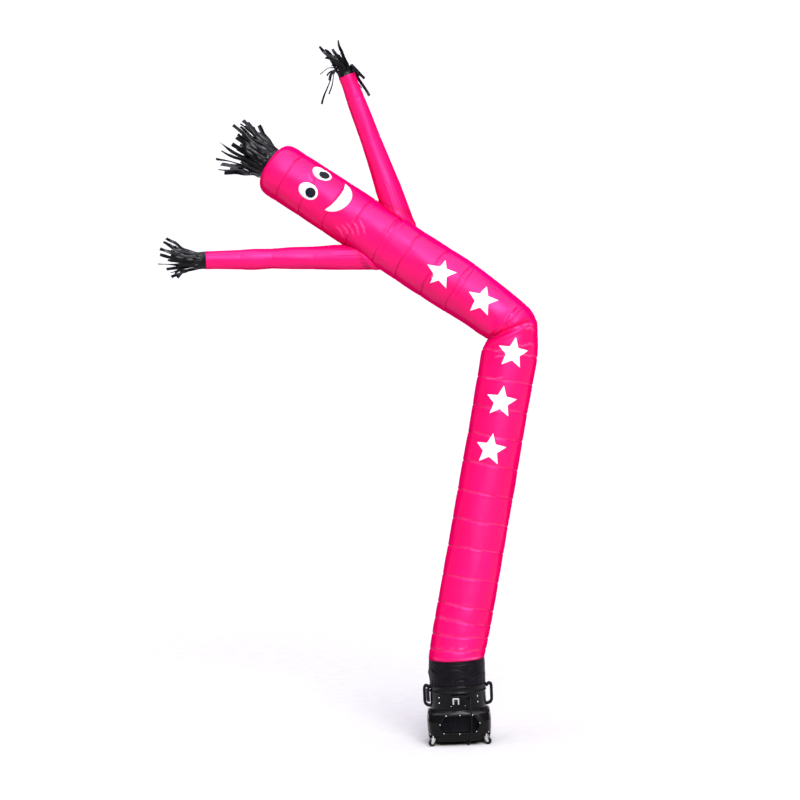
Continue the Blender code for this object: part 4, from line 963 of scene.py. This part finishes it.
# Strip fringes, a strip at each even step round. columns: end along the axis, across, back, first lead
HAIR = (
    (0.285, 0.215, 0.03, 0.08), (0.397, 0.185, 0.095, 0.14), (0.34, 0.15, 0.15, 0.12),
    (0.4, 0.085, 0.2, 0.14), (0.33, 0.035, 0.215, 0.12), (0.36, -0.04, 0.22, 0.13),
    (0.4, -0.11, 0.19, 0.14), (0.33, -0.17, 0.15, 0.11), (0.385, -0.225, 0.09, 0.1),
    (0.304, -0.262, 0.01, 0.05), (0.34, -0.268, -0.08, 0.06), (0.394, -0.205, -0.13, 0.11),
    (0.439, -0.09, -0.18, 0.16), (0.336, -0.032, -0.175, 0.13), (0.334, 0.028, -0.19, 0.11),
    (0.416, 0.105, -0.18, 0.16), (0.38, 0.15, -0.14, 0.12), (0.397, 0.185, -0.06, 0.13))
LEVEL_HAND = (
    (0.317, 0.203, 0.005, 0.1), (0.3, 0.15, 0.09, 0.09), (0.33, 0.095, 0.12, 0.1),
    (0.3, 0.01, 0.15, 0.09), (0.33, -0.06, 0.12, 0.1), (0.25, -0.125, 0.08, 0.09),
    (0.289, -0.132, 0.0, 0.12), (0.3, -0.085, -0.07, 0.11), (0.397, -0.01, -0.09, 0.13),
    (0.378, 0.06, -0.11, 0.13), (0.373, 0.112, -0.1, 0.13), (0.35, 0.16, -0.06, 0.12))
RAISED_HAND = (
    (-0.23, 0.104, 0.01, 0.05), (-0.08, 0.125, 0.11, 0.06), (0.2, 0.02, 0.15, 0.09),
    (0.25, -0.03, 0.15, 0.11), (0.27, -0.09, 0.13, 0.12), (0.304, -0.125, 0.06, 0.15),
    (-0.15, -0.275, -0.01, 0.09), (0.01, -0.15, -0.1, 0.07), (0.094, -0.205, -0.15, 0.08),
    (0.19, -0.11, -0.17, 0.09), (0.294, 0.035, -0.11, 0.14), (-0.02, 0.1, -0.13, 0.06))
STRIP_T = 0.0022             # how far inside the cuff's radius a strip starts
TWIST = math.radians(65.0)   # most of a strip's twist, at the cuff's two sides


def strip(centre, axes, radius, cuff, row, half_w, rng, reach=1.0, steps=22, thick=0.0006):
    """One strip of cloth: it leaves the cuff along the axis, bends over to its end, twists and cups."""
    axis, across, back = axes
    a = math.radians(row[0])
    spoke = math.cos(a) * across + math.sin(a) * back
    root = centre + axis * cuff * 0.8 + spoke * (radius - STRIP_T)
    wide = unit(-math.sin(a) * across + math.cos(a) * back)
    end = centre + axis * row[1] + across * row[2] + back * row[3]
    bent = root + axis * row[4]
    twist = TWIST * math.cos(a) ** 2
    ripple, phase, curl = rng.uniform(0.004, 0.01), rng.uniform(0, 6.28), rng.uniform(-0.9, 0.9)
    section = np.array((-1.0, -0.5, 0.0, 0.5, 1.0))[:, None]
    grid = []
    for step in range(steps + 1):
        u = reach * step / steps
        p = (1 - u) ** 2 * root + 2 * u * (1 - u) * bent + u * u * end
        tangent = unit((1 - u) * (bent - root) + u * (end - bent))
        wide = unit(wide - tangent * np.dot(wide, tangent))
        thin = np.cross(wide, tangent)
        if step == 0:
            flip = -1.0 if np.dot(thin, spoke) < 0 else 1.0
        thin = thin * flip
        turn = twist * u + curl * u ** 2 + 0.35 * math.sin(7 * u + phase) * u
        flat = wide * math.cos(turn) + thin * math.sin(turn)
        edge = thin * math.cos(turn) - wide * math.sin(turn)
        p = p + thin * ripple * u * math.sin(11 * u + phase)
        p = p + wide * 0.5 * ripple * u * math.sin(8 * u + 2 * phase)
        half = half_w * (1.0 - 0.22 * u) * (1.0 + 0.06 * math.sin(19 * u + phase))
        rise = (0.25 * math.sin(5 * u + phase) + 0.15) * half * (section ** 2 - 0.4)
        middle = p + flat * half * section
        upper, lower = middle + edge * (rise + thick), middle + edge * (rise - thick)
        grid.append(np.concatenate([upper, lower[::-1]]))
    return lofted(grid)


def gathered(centre, axes, radius, cuff, count=9, n=120):
    """The pleated cuff that the strips hang from."""
    axis, across, back = axes
    a = angles(n)
    spokes = np.cos(a)[:, None] * across + np.sin(a)[:, None] * back
    rings = []
    for wall in (0.0, -0.0045):
        shares = [i / (count - 1) for i in range(count)]
        for u in shares if wall == 0.0 else reversed(shares):
            pleat = 0.0022 * np.sin(27 * a + 2 * u) * (0.3 + u) + 0.0014 * np.sin(16 * a + 5 * u)
            pleat = pleat - 0.004 * math.sin(math.pi * u)
            rings.append(centre + axis * cuff * u + (radius + wall + pleat - 0.001)[:, None] * spokes)
    return np.concatenate(rings), rings_to_faces(len(rings), n, closed=True)


def fringe(name, node_name, centre, axis, across, radius, cuff, rows, between, seed):
    """A gathered cuff of cloth cut into strips, with shorter strips between the long ones."""
    rng = random.Random(seed)
    axis = unit(axis)
    across = unit(across - axis * np.dot(across, axis))
    back = np.cross(axis, across)
    axes = (axis, across, back if back[2] > 0 else -back)
    pitch = 2 * math.pi / len(rows)
    half_w = 0.42 * pitch * radius
    rows = [(360 * i / len(rows), *row) for i, row in enumerate(rows)]
    solids = [strip(centre, axes, radius, cuff, row, half_w, rng) for row in rows]
    rows = np.array(rows, dtype=float)
    for k in range(len(rows) * between):
        here, after = rows[k % len(rows)], rows[(k + 1) % len(rows)]
        mixed = 0.5 * (here + after)
        mixed[0] = here[0] + math.degrees(pitch) * rng.uniform(0.3, 0.7)
        if abs(here[1] - after[1]) > 0.15:
            mixed = here * 0.9
            mixed[0] = here[0] + math.degrees(pitch) * 0.4
        mixed[1:4] *= rng.uniform(0.78, 0.97)
        inner = radius - 0.004 - 0.01 * rng.random()
        solids.append(strip(centre, axes, inner, cuff, mixed, half_w * rng.uniform(0.55, 0.8), rng,
                            rng.uniform(0.8, 1.0)))
    verts, faces = joined(*solids, gathered(centre, axes, radius, cuff))
    return add(name, lean(verts), faces, ribbon_black, replaces=node_name, angle=50)


def hand(side, sleeve_rows, gap, across, radius, cuff, rows, seed):
    """The fringe at a sleeve's wrist."""
    wrist, before = np.array(sleeve_rows[-1][:3]), np.array(sleeve_rows[-2][:3])
    axis = unit(wrist - before)
    return fringe(side + "_hand_strips", "hand_fringe_" + side, wrist + axis * gap, axis,
                  np.array(across), radius, cuff, rows, 1, seed)


hair = fringe("hair_strips", "hair_fringe", KNEE + TORSO * (TORSO_LENGTH + 0.0008), TORSO, TORSO_SIDE,
              0.144, 0.045, HAIR, 2, 11)
level_hand = hand("level", LEVEL_SLEEVE, 0.0006, (0.0, 1.0, 0.0), 0.074, 0.09, LEVEL_HAND, 23)
raised_hand = hand("raised", RAISED_SLEEVE, 0.0008, (1.0, 0.0, 0.0), 0.0705, 0.06, RAISED_HAND, 37)

# The dark band over the collar.
BAND_WRINKLES = (
    (0.004, 0.006, ((448, 672), (452, 670.4), (457, 670.2), (462, 671.8), (467, 674.2))),
    (0.0036, 0.005, ((450, 681), (452.5, 678.6), (455, 677), (457.5, 678.8), (460, 682))),
    (0.0036, 0.005, ((441, 684), (444.5, 680), (448, 676), (452, 672.8))),
    (0.0036, 0.0055, ((468, 684), (471, 680), (474.5, 676.8), (482, 671))),
    (0.003, 0.005, ((459, 684.5), (463, 681), (467.5, 679.5), (472, 682.5))),
    (0.003, 0.005, ((436, 683), (438.5, 680), (440, 676.8))),
    (0.003, 0.006, ((444, 664.5), (452, 666.2), (462, 665.4), (470, 663.8))),
)
BAND_FOLDS = (
    (0.005, 0.007, 0.003, 0.3, ((452, 684.5), (455.5, 681.5), (459, 679.5), (464, 679), (468, 681.5))),
    (0.0045, 0.007, 0.003, 0.3, ((431.5, 668), (436, 671.5), (441, 673))),
    (0.004, 0.008, 0.003, 0.3, ((473, 668), (478, 671), (484, 671.5))),
)
# columns: height, radius, bulge of the sewn tab
BAND = ((0.497, 0.229, 0.0), (0.507, 0.2296, 0.0), (0.52, 0.2294, 0.0), (0.562, 0.2322, 0.004),
        (0.592, 0.2326, 0.01), (0.618, 0.2322, 0.004), (0.655, 0.2316, 0.0), (0.69, 0.2304, 0.0),
        (SEAM_Z - 0.0006, 0.2298, 0.0))


def base_band(n=160):
    rows = np.array(BAND)
    at = np.unique(np.concatenate([np.arange(rows[0, 0], rows[-1, 0], 0.0042), [rows[-1, 0]]]))
    made = hermite(rows[:, 0], rows, at)
    a = angles(n)[None, :]
    z = made[:, 0][:, None]
    low = soft((z - rows[0, 0]) / 0.045)
    tab = soft((np.degrees(a) - 180) / 12.0)
    r = made[:, 1][:, None] + made[:, 2][:, None] * tab
    r = r + 0.0022 * low * np.sin(31 * a + 1.2 * np.sin(3 * a)) + 0.0012 * low * np.sin(47 * a + 9 * z)
    r = r + 0.0016 * np.sin(6 * a + 50 * z) * np.sin(math.pi * np.clip((z - 0.5) / 0.2, 0, 1))
    r = r - 0.002 * soft((z - 0.5115) / 0.0028) - 0.0018 * soft((z - SEAM_Z + 0.006) / 0.0022)
    spoke = np.stack([np.cos(a), np.sin(a), 0 * a], axis=-1)
    points = r[..., None] * spoke
    points[..., 2] = z
    facing = np.broadcast_to(-np.sin(a), r.shape)
    drawn, _ = drawn_lift(pixels(lean(points)), facing, BAND_FOLDS, BAND_WRINKLES)
    points = points + drawn[..., None] * spoke
    return shell("band", points, band_black, coarse=(3, 2), wall=0.0012, replaces="base_band")


base_band()

# The blower.
LEDGE_Z = 0.282                          # height of the ledge between the box and the round neck
NECK_R, NECK_TOP_R = 0.2325, 0.229
COLLAR_R = 0.2255
BEAD = 0.006
SWIVEL = (0.2194, 0.2025)                # a caster's place from the middle
POCKET_R, POCKET_Z = 0.0585, 0.088       # the pockets that the casters turn in
# columns: height, half width, half depth, corner exponent
HOUSING = (
    (0.035, 0.24, 0.228, 5.0), (0.045, 0.25, 0.238, 5.0), (0.072, 0.256, 0.242, 5.0),
    (0.076, 0.2585, 0.2445, 5.0), (0.083, 0.259, 0.245, 5.0), (0.087, 0.258, 0.244, 5.0),
    (0.12, 0.263, 0.248, 5.0), (0.2, 0.265, 0.25, 5.0), (LEDGE_Z - 0.02, 0.257, 0.243, 4.0),
    (LEDGE_Z, 0.24, 0.236, 2.4)) + tuple((z, r, r, 2.0) for z, r in (
        (LEDGE_Z + 0.007, NECK_R), (0.31, 0.232), (0.425, NECK_TOP_R), (0.431, NECK_TOP_R + BEAD),
        (0.441, NECK_TOP_R + BEAD), (0.447, NECK_TOP_R), (0.472, NECK_TOP_R), (0.478, NECK_TOP_R + BEAD),
        (0.486, NECK_TOP_R + BEAD), (0.491, COLLAR_R), (0.6, COLLAR_R), (0.6, COLLAR_R - 0.01),
        (0.33, COLLAR_R - 0.02)))
# the intake's outline, seen from the front. columns: x, z
INTAKE = ((-0.164, 0.16), (-0.126, 0.232), (-0.104, 0.247), (0.112, 0.247), (0.134, 0.233),
          (0.166, 0.178), (0.162, 0.156), (0.13, 0.116), (0.11, 0.106), (-0.118, 0.106))
SEAT_Y, FLOOR_Y = -0.238, -0.178
FRAME_T = 0.008


def scaled(outline, grow):
    pts = np.array(outline)
    middle = pts.mean(axis=0)
    span = pts.max(axis=0) - pts.min(axis=0)
    return soft_outline(middle + (pts - middle) * (1 + 2 * grow / span), 0.009)


def cut(ob, cutters):
    """Takes the cutters out of an object, and keeps their faces in their own material."""
    for cutter in cutters:
        mod = ob.modifiers.new(cutter.name, "BOOLEAN")
        mod.solver = "EXACT"
        mod.material_mode = "TRANSFER"
        mod.object = cutter
    bpy.context.view_layer.update()
    ob.data = bpy.data.meshes.new_from_object(ob.evaluated_get(bpy.context.evaluated_depsgraph_get()))
    ob.modifiers.clear()
    for cutter in cutters:
        bpy.data.objects.remove(cutter)
    for poly in ob.data.polygons:
        poly.use_smooth = True
    ob.data.set_sharp_from_angle(angle=math.radians(32))


def make_housing(n=144):
    a = angles(n)
    c, s = np.cos(a), np.sin(a)
    grid = []
    for z, hx, hy, power in rounded(HOUSING, 0.0035, 3):
        x = hx * np.sign(c) * np.abs(c) ** (2 / power)
        y = hy * np.sign(s) * np.abs(s) ** (2 / power)
        grid.append(np.stack([x, y, np.full(n, z)], axis=1))
    ob = add("housing", *lofted(grid), case, replaces="blower_housing")
    pocket = ((-0.01, POCKET_R), (POCKET_Z - 0.004, POCKET_R), (POCKET_Z, POCKET_R - 0.004))
    seat = slab(scaled(INTAKE, 0.014), SEAT_Y, -0.4, 0.0001)
    opening = slab(scaled(INTAKE, 0.0), FLOOR_Y, -0.4, 0.0001)
    cutters = []
    for sx, sy in ((-1, -1), (-1, 1), (1, -1), (1, 1)):
        solid = turned(pocket, 64, (0, 0, 1), (sx * SWIVEL[0], sy * SWIVEL[1], 0.0), 0.0)
        cutters.append(add("pocket", *solid, case, body=None))
    cutters += [add("seat", *seat, case, body=None), add("recess", *opening, recess, body=None)]
    cut(ob, cutters)
    return ob


housing = make_housing()
casing = BVHTree.FromPolygons([v.co.copy() for v in housing.data.vertices],
                              [tuple(p.vertices) for p in housing.data.polygons])


def seen(u, v):
    """The housing's point, from the blower's centre, and its normal at a pixel of the picture."""
    c, s = math.cos(ROLL), math.sin(ROLL)
    x = METRES_PER_PIXEL * ((u - FOOT_PIXEL[0]) * c + (FOOT_PIXEL[1] - v) * s)
    h = METRES_PER_PIXEL * ((FOOT_PIXEL[1] - v) * c - (u - FOOT_PIXEL[0]) * s)
    start = BLOWER + lean((x, h, -2.0))
    hit, normal, _, _ = casing.ray_cast(Vector(start), Vector(lean((0.0, 0.0, 1.0))))
    return np.array(hit) - BLOWER, np.array(normal)


def screw(name, place, out, radius, height=0.0036, replaces=None):
    """A domed head with a round dip in its top, standing off a face."""
    out = unit(out)
    rows = ((0.0, 1.0), (0.35, 1.0), (0.75, 0.8), (0.95, 0.42), (0.95, 0.4), (0.55, 0.26), (0.5, 0.05))
    rows = [(along * height, share * radius) for along, share in rows]
    add(name, *turned(rows, 24, out, np.array(place) + out * 0.0004, 0.0004), steel, replaces=replaces,
        angle=55)


def neck_radius(z):
    return NECK_R + (NECK_TOP_R - NECK_R) * (z - LEDGE_Z - 0.007) / (0.425 - LEDGE_Z - 0.007)


def make_intake():
    outer, inner = scaled(INTAKE, 0.013), scaled(INTAKE, 0.001)
    near, far = SEAT_Y - 0.0006, SEAT_Y - FRAME_T
    edge = 0.0016
    section = ((outer, near, 0.0), (outer, far + edge, 0.0), (outer, far + 0.3 * edge, 0.3 * edge),
               (outer, far, edge), (inner, far, -edge), (inner, far + 0.3 * edge, -0.3 * edge),
               (inner, far + edge, 0.0), (inner, near, 0.0))
    grid = np.array([depth_ring(*row) for row in section])
    add("intake_rim", grid, rings_to_faces(len(grid), grid.shape[1], closed=True), case,
        replaces="intake_frame", angle=40)
    heads = ((-0.106, 0.2535), (0.008, 0.254), (0.113, 0.254), (-0.161, 0.1815), (0.17, 0.1855),
             (-0.129, 0.1075), (0.0, 0.0988), (0.139, 0.115))
    for i, (x, z) in enumerate(heads, 1):
        screw(f"intake_head_{i}", (x, far, z), (0, -1, 0), 0.0045, replaces=f"intake_screw_{i}")
    # guard wires across the opening
    outline = inset(scaled(INTAKE, 0.0), 0.0006)
    wires = []
    for z in np.arange(0.117, 0.246, 0.0145):
        low, high = crossings(outline, z)
        wire = ((0.0, 0.0013), (high - low, 0.0013))
        wires.append(turned(wire, 8, (1, 0, 0), (low, SEAT_Y + 0.012, z), 0.0))
    for x in (-0.075, 0.008, 0.091):
        low, high = crossings(outline[:, ::-1], x)
        wire = ((0.0, 0.0016), (high - low, 0.0016))
        wires.append(turned(wire, 8, (0, 0, 1), (x, SEAT_Y + 0.0152, low), 0.0))
    add("intake_guard", *joined(*wires), recess)


def crossings(outline, level):
    """Where a closed outline of (across, up) crosses a level, lowest and highest."""
    found = []
    for a, b in zip(outline, np.roll(outline, -1, axis=0)):
        if (a[1] - level) * (b[1] - level) < 0:
            found.append(a[0] + (b[0] - a[0]) * (level - a[1]) / (b[1] - a[1]))
    return min(found), max(found)


HANDLE = ((0.229, 0.46), (0.2405, 0.466), (0.248, 0.4735), (0.256, 0.4785), (0.264, 0.479),
          (0.272, 0.472), (0.2765, 0.456), (0.277, 0.404), (0.2765, 0.352), (0.272, 0.334),
          (0.262, 0.321), (0.248, 0.314), (0.231, 0.311))


def make_handles():
    bar = rounded_box(0.0125, 0.019, 0.007)
    for name, sign in (("left", -1), ("right", 1)):
        line = smooth_route([(sign * x, 0.0, z) for x, z in HANDLE], 0.005)
        add("grip_" + name, *swept(line, lambda u: bar), case, replaces="handle_" + name, angle=50)
    outline = soft_outline(((-0.2345, 0.338), (-0.256, 0.338), (-0.2636, 0.354), (-0.2636, 0.446),
                            (-0.258, 0.455), (-0.2345, 0.448)), 0.004)
    add("grip_web", *slab(outline, 0.012, 0.0145, 0.0006), web, replaces="grip_web_left", angle=40)


PLATE_Y = -0.246
KNOB = (-0.021, 0.372)


def make_switch():
    kx, kz = KNOB
    outline = rounded_box(0.068, 0.044, 0.005) + (0.0, kz)
    edge = ((0.0, 0.0016), (0.0005, 0.0005), (0.0016, 0.0))
    grid = [depth_ring(outline, PLATE_Y + y, depth) for y, depth in edge]
    behind = depth_ring(outline, 0.0)
    behind[:, 1] = -np.sqrt((neck_radius(outline[:, 1]) + 0.0005) ** 2 - outline[:, 0] ** 2)
    add("switch_backplate", *lofted(grid + [behind]), case, replaces="switch_plate", angle=40)
    pad = rounded_box(0.019, 0.034, 0.003) + (0.038, 0.374)
    add("plate_pad", *slab(pad, PLATE_Y - 0.0001, PLATE_Y - 0.0012, 0.0005), recess, angle=40)
    # the surround is an upside-down U
    u_out, u_in, z0, z1, bar = 0.027, 0.0155, 0.347, 0.401, 0.0115
    bezel = soft_outline(((kx - u_out, z0), (kx - u_in, z0), (kx - u_in, z1 - bar), (kx + u_in, z1 - bar),
                          (kx + u_in, z0), (kx + u_out, z0), (kx + u_out, z1), (kx - u_out, z1)), 0.0045)
    add("switch_surround", *slab(bezel, PLATE_Y - 0.0006, PLATE_Y - 0.006, 0.0012), pale,
        replaces="switch_bezel", angle=40)
    knob = turned(((0.0006, 0.0135), (0.0095, 0.0132), (0.0125, 0.0112), (0.0125, 0.003)), 40, (0, -1, 0),
                  (kx, PLATE_Y, kz))
    grip = slab(rounded_box(0.004, 0.011, 0.0018) + KNOB, PLATE_Y - 0.011, PLATE_Y - 0.0188)
    add("switch_dial", *joined(knob, grip), case, body="switch", replaces="switch_knob", angle=40)
    mark = rounded_box(0.0007, 0.003, 0.0004) + (kx, kz + 0.0065)
    add("dial_mark", *slab(mark, PLATE_Y - 0.0186, PLATE_Y - 0.019, 0.0001), pale, body="switch")


def make_screws():
    """The screws of the switch plate, the neck and the box's front corners."""
    for i, pixel in enumerate(((450.9, 705.4), (465.0, 705.2)), 1):
        x, _, z = seen(*pixel)[0]
        screw(f"plate_screw_{i}", (x, PLATE_Y, max(z, 0.334)), (0, -1, 0), 0.0032, 0.002)
    for i, (x, z) in enumerate(((-0.16, 0.352), (-0.16, 0.398), (0.16, 0.352), (0.16, 0.398)), 1):
        turn = math.asin(x / NECK_R)
        out = np.array((math.sin(turn), -math.cos(turn), 0.0))
        screw(f"neck_head_{i}", out * neck_radius(z) + (0, 0, z), out, 0.006, replaces=f"neck_screw_{i}")
    for i, pixel in enumerate(((430.4, 733.2), (488.2, 731.0), (485.3, 735.1), (488.2, 734.6)), 1):
        screw(f"corner_screw_{i}", *seen(*pixel), 0.0048)


def make_gland(length=0.04):
    """A nut on the neck and a tapered, ribbed sleeve that follows the cord's first bend."""
    x, z = GLAND
    root = -math.sqrt(neck_radius(z) ** 2 - x ** 2)
    rows = ((0.0, 0.0125), (0.0065, 0.0125), (0.008, 0.0108), (-GLAND_MOUTH_Y + root, 0.0095))
    nut = turned(rows, 6, (0, -1, 0), (x, root + 0.001, z), 0.0006)
    line = resampled(cord_route, np.linspace(0.0, length, 41))
    line[0] = (x, GLAND_MOUTH_Y + 0.0012, z)
    a = angles(24)

    def ring(u):
        r = 0.0088 - 0.0036 * u + 0.0006 * math.sin(2 * math.pi * 8 * u)
        return np.stack([r * np.cos(a), r * np.sin(a)], axis=1)

    add("strain_relief", *joined(nut, swept(line, ring, (1.0, 0.0, 0.0))), case, replaces="cord_gland",
        angle=35)


WHEEL_R, WHEEL_W, TRAIL = 0.029, 0.02, 0.014


def make_caster(tag, x, y, degrees):
    turn = math.radians(degrees)
    cheek, thick = WHEEL_W / 2 + 0.0012, 0.0024
    crown, low, lift = 2 * WHEEL_R + 0.006, WHEEL_R - 0.008, 0.0036
    top, wide = crown + lift, cheek + thick
    side = soft_outline(((-0.016, top - 0.0006), (-0.016, crown - 0.006), (TRAIL - 0.009, low),
                         (TRAIL + 0.009, low), (TRAIL + 0.009, low + 0.016), (0.018, crown - 0.006),
                         (0.018, top - 0.0006)), 0.006)
    bolt = ((0.0, 0.0055), (0.0022, 0.0055), (0.003, 0.0044))
    solids = []
    for sign in (-1, 1):
        solids.append(slab(side, sign * cheek, sign * wide, 0.0005))
        solids.append(turned(bolt, 6, (0, sign, 0), (TRAIL, sign * (wide - 0.0004), WHEEL_R), 0.0003))
    plate = soft_outline(((-0.016, -wide), (0.018, -wide), (0.018, wide), (-0.016, wide)), 0.003)
    solids.append(lofted([np.column_stack([inset(plate, depth), np.full(len(plate), z)])
                          for z, depth in ((crown, 0.0), (top - 0.0005, 0.0), (top, 0.0005))]))
    stem = ((top - 0.001, 0.012), (top + 0.003, 0.012), (top + 0.0042, 0.008),
            (POCKET_Z - 0.001, 0.008))
    solids.append(turned(stem, 28, (0, 0, 1), (0, 0, 0)))
    add("fork_" + tag, *placed(joined(*solids), x, y, turn), steel, body="caster_" + tag,
        replaces="caster_fork_" + tag, angle=35)
    half, axle = WHEEL_W / 2, (TRAIL, 0.0, WHEEL_R)
    tyre = mirrored(((-half + 0.0016, 0.019), (-half, 0.0215), (-half + 0.0008, WHEEL_R - 0.0026),
                     (-half + 0.0042, WHEEL_R - 0.0002)))
    hub = mirrored(((-cheek + 0.0004, 0.006), (-half + 0.003, 0.007), (-half + 0.003, 0.015),
                    (-half + 0.0018, 0.0165), (-half + 0.0024, 0.0188)))
    for name, rows, n, corner, mat, replaced in (
            ("tyre_", tyre, 56, 0.0012, rubber, "caster_wheel_" + tag),
            ("hub_", hub, 40, 0.0006, recess, None)):
        solid = placed(turned(rows, n, (0, 1, 0), axle, corner), x, y, turn)
        add(name + tag, *solid, mat, body="wheel_" + tag, replaces=replaced, slot="wheel_rubber", angle=40)


make_intake()
make_handles()
make_switch()
make_screws()
make_gland()
for tag, sx, sy, degrees in (("front_left", -1, -1, 200), ("front_right", 1, -1, -25),
                             ("rear_left", -1, 1, 150), ("rear_right", 1, 1, 40)):
    make_caster(tag, sx * SWIVEL[0], sy * SWIVEL[1], degrees)


# The stage.
def make_world():
    """A studio that is brighter and a little bluer overhead than at the horizon."""
    world = bpy.data.worlds.new("studio")
    world.use_nodes = True
    tree = world.node_tree
    place = node(tree, "ShaderNodeTexCoord").outputs["Generated"]
    height = node(tree, "ShaderNodeSeparateXYZ", Vector=place).outputs["Z"]
    sky = node(tree, "ShaderNodeValToRGB", Fac=height)
    stops = sky.color_ramp.elements
    stops[0].position, stops[0].color = 0.1, (0.08, 0.08, 0.09, 1.0)
    stops[1].position, stops[1].color = 1.0, (4.4, 4.2, 4.95, 1.0)
    for position, level in ((0.6, 0.15), (0.8, 2.25)):
        stops.new(position).color = (level, 0.98 * level, 1.12 * level, 1.0)
    tree.links.new(sky.outputs["Color"], tree.nodes["Background"].inputs["Color"])
    bpy.context.scene.world = world


def make_stage(size=300.0):
    mesh = bpy.data.meshes.new("floor")
    corners = [(-size, -size, 0), (size, -size, 0), (size, size, 0), (-size, size, 0)]
    mesh.from_pydata(corners, [], [(0, 1, 2, 3)])
    mesh.materials.append(floor_paint)
    new_object("floor", mesh)
    make_world()
    light = bpy.data.lights.new("key", "SUN")
    light.energy = 4.2
    light.angle = math.radians(30)
    travels = Vector((-0.22, 0.84, -0.6))
    new_object("key", light).rotation_euler = travels.to_track_quat("-Z", "Y").to_euler()
    bpy.context.scene.view_settings.view_transform = "Standard"


make_stage()
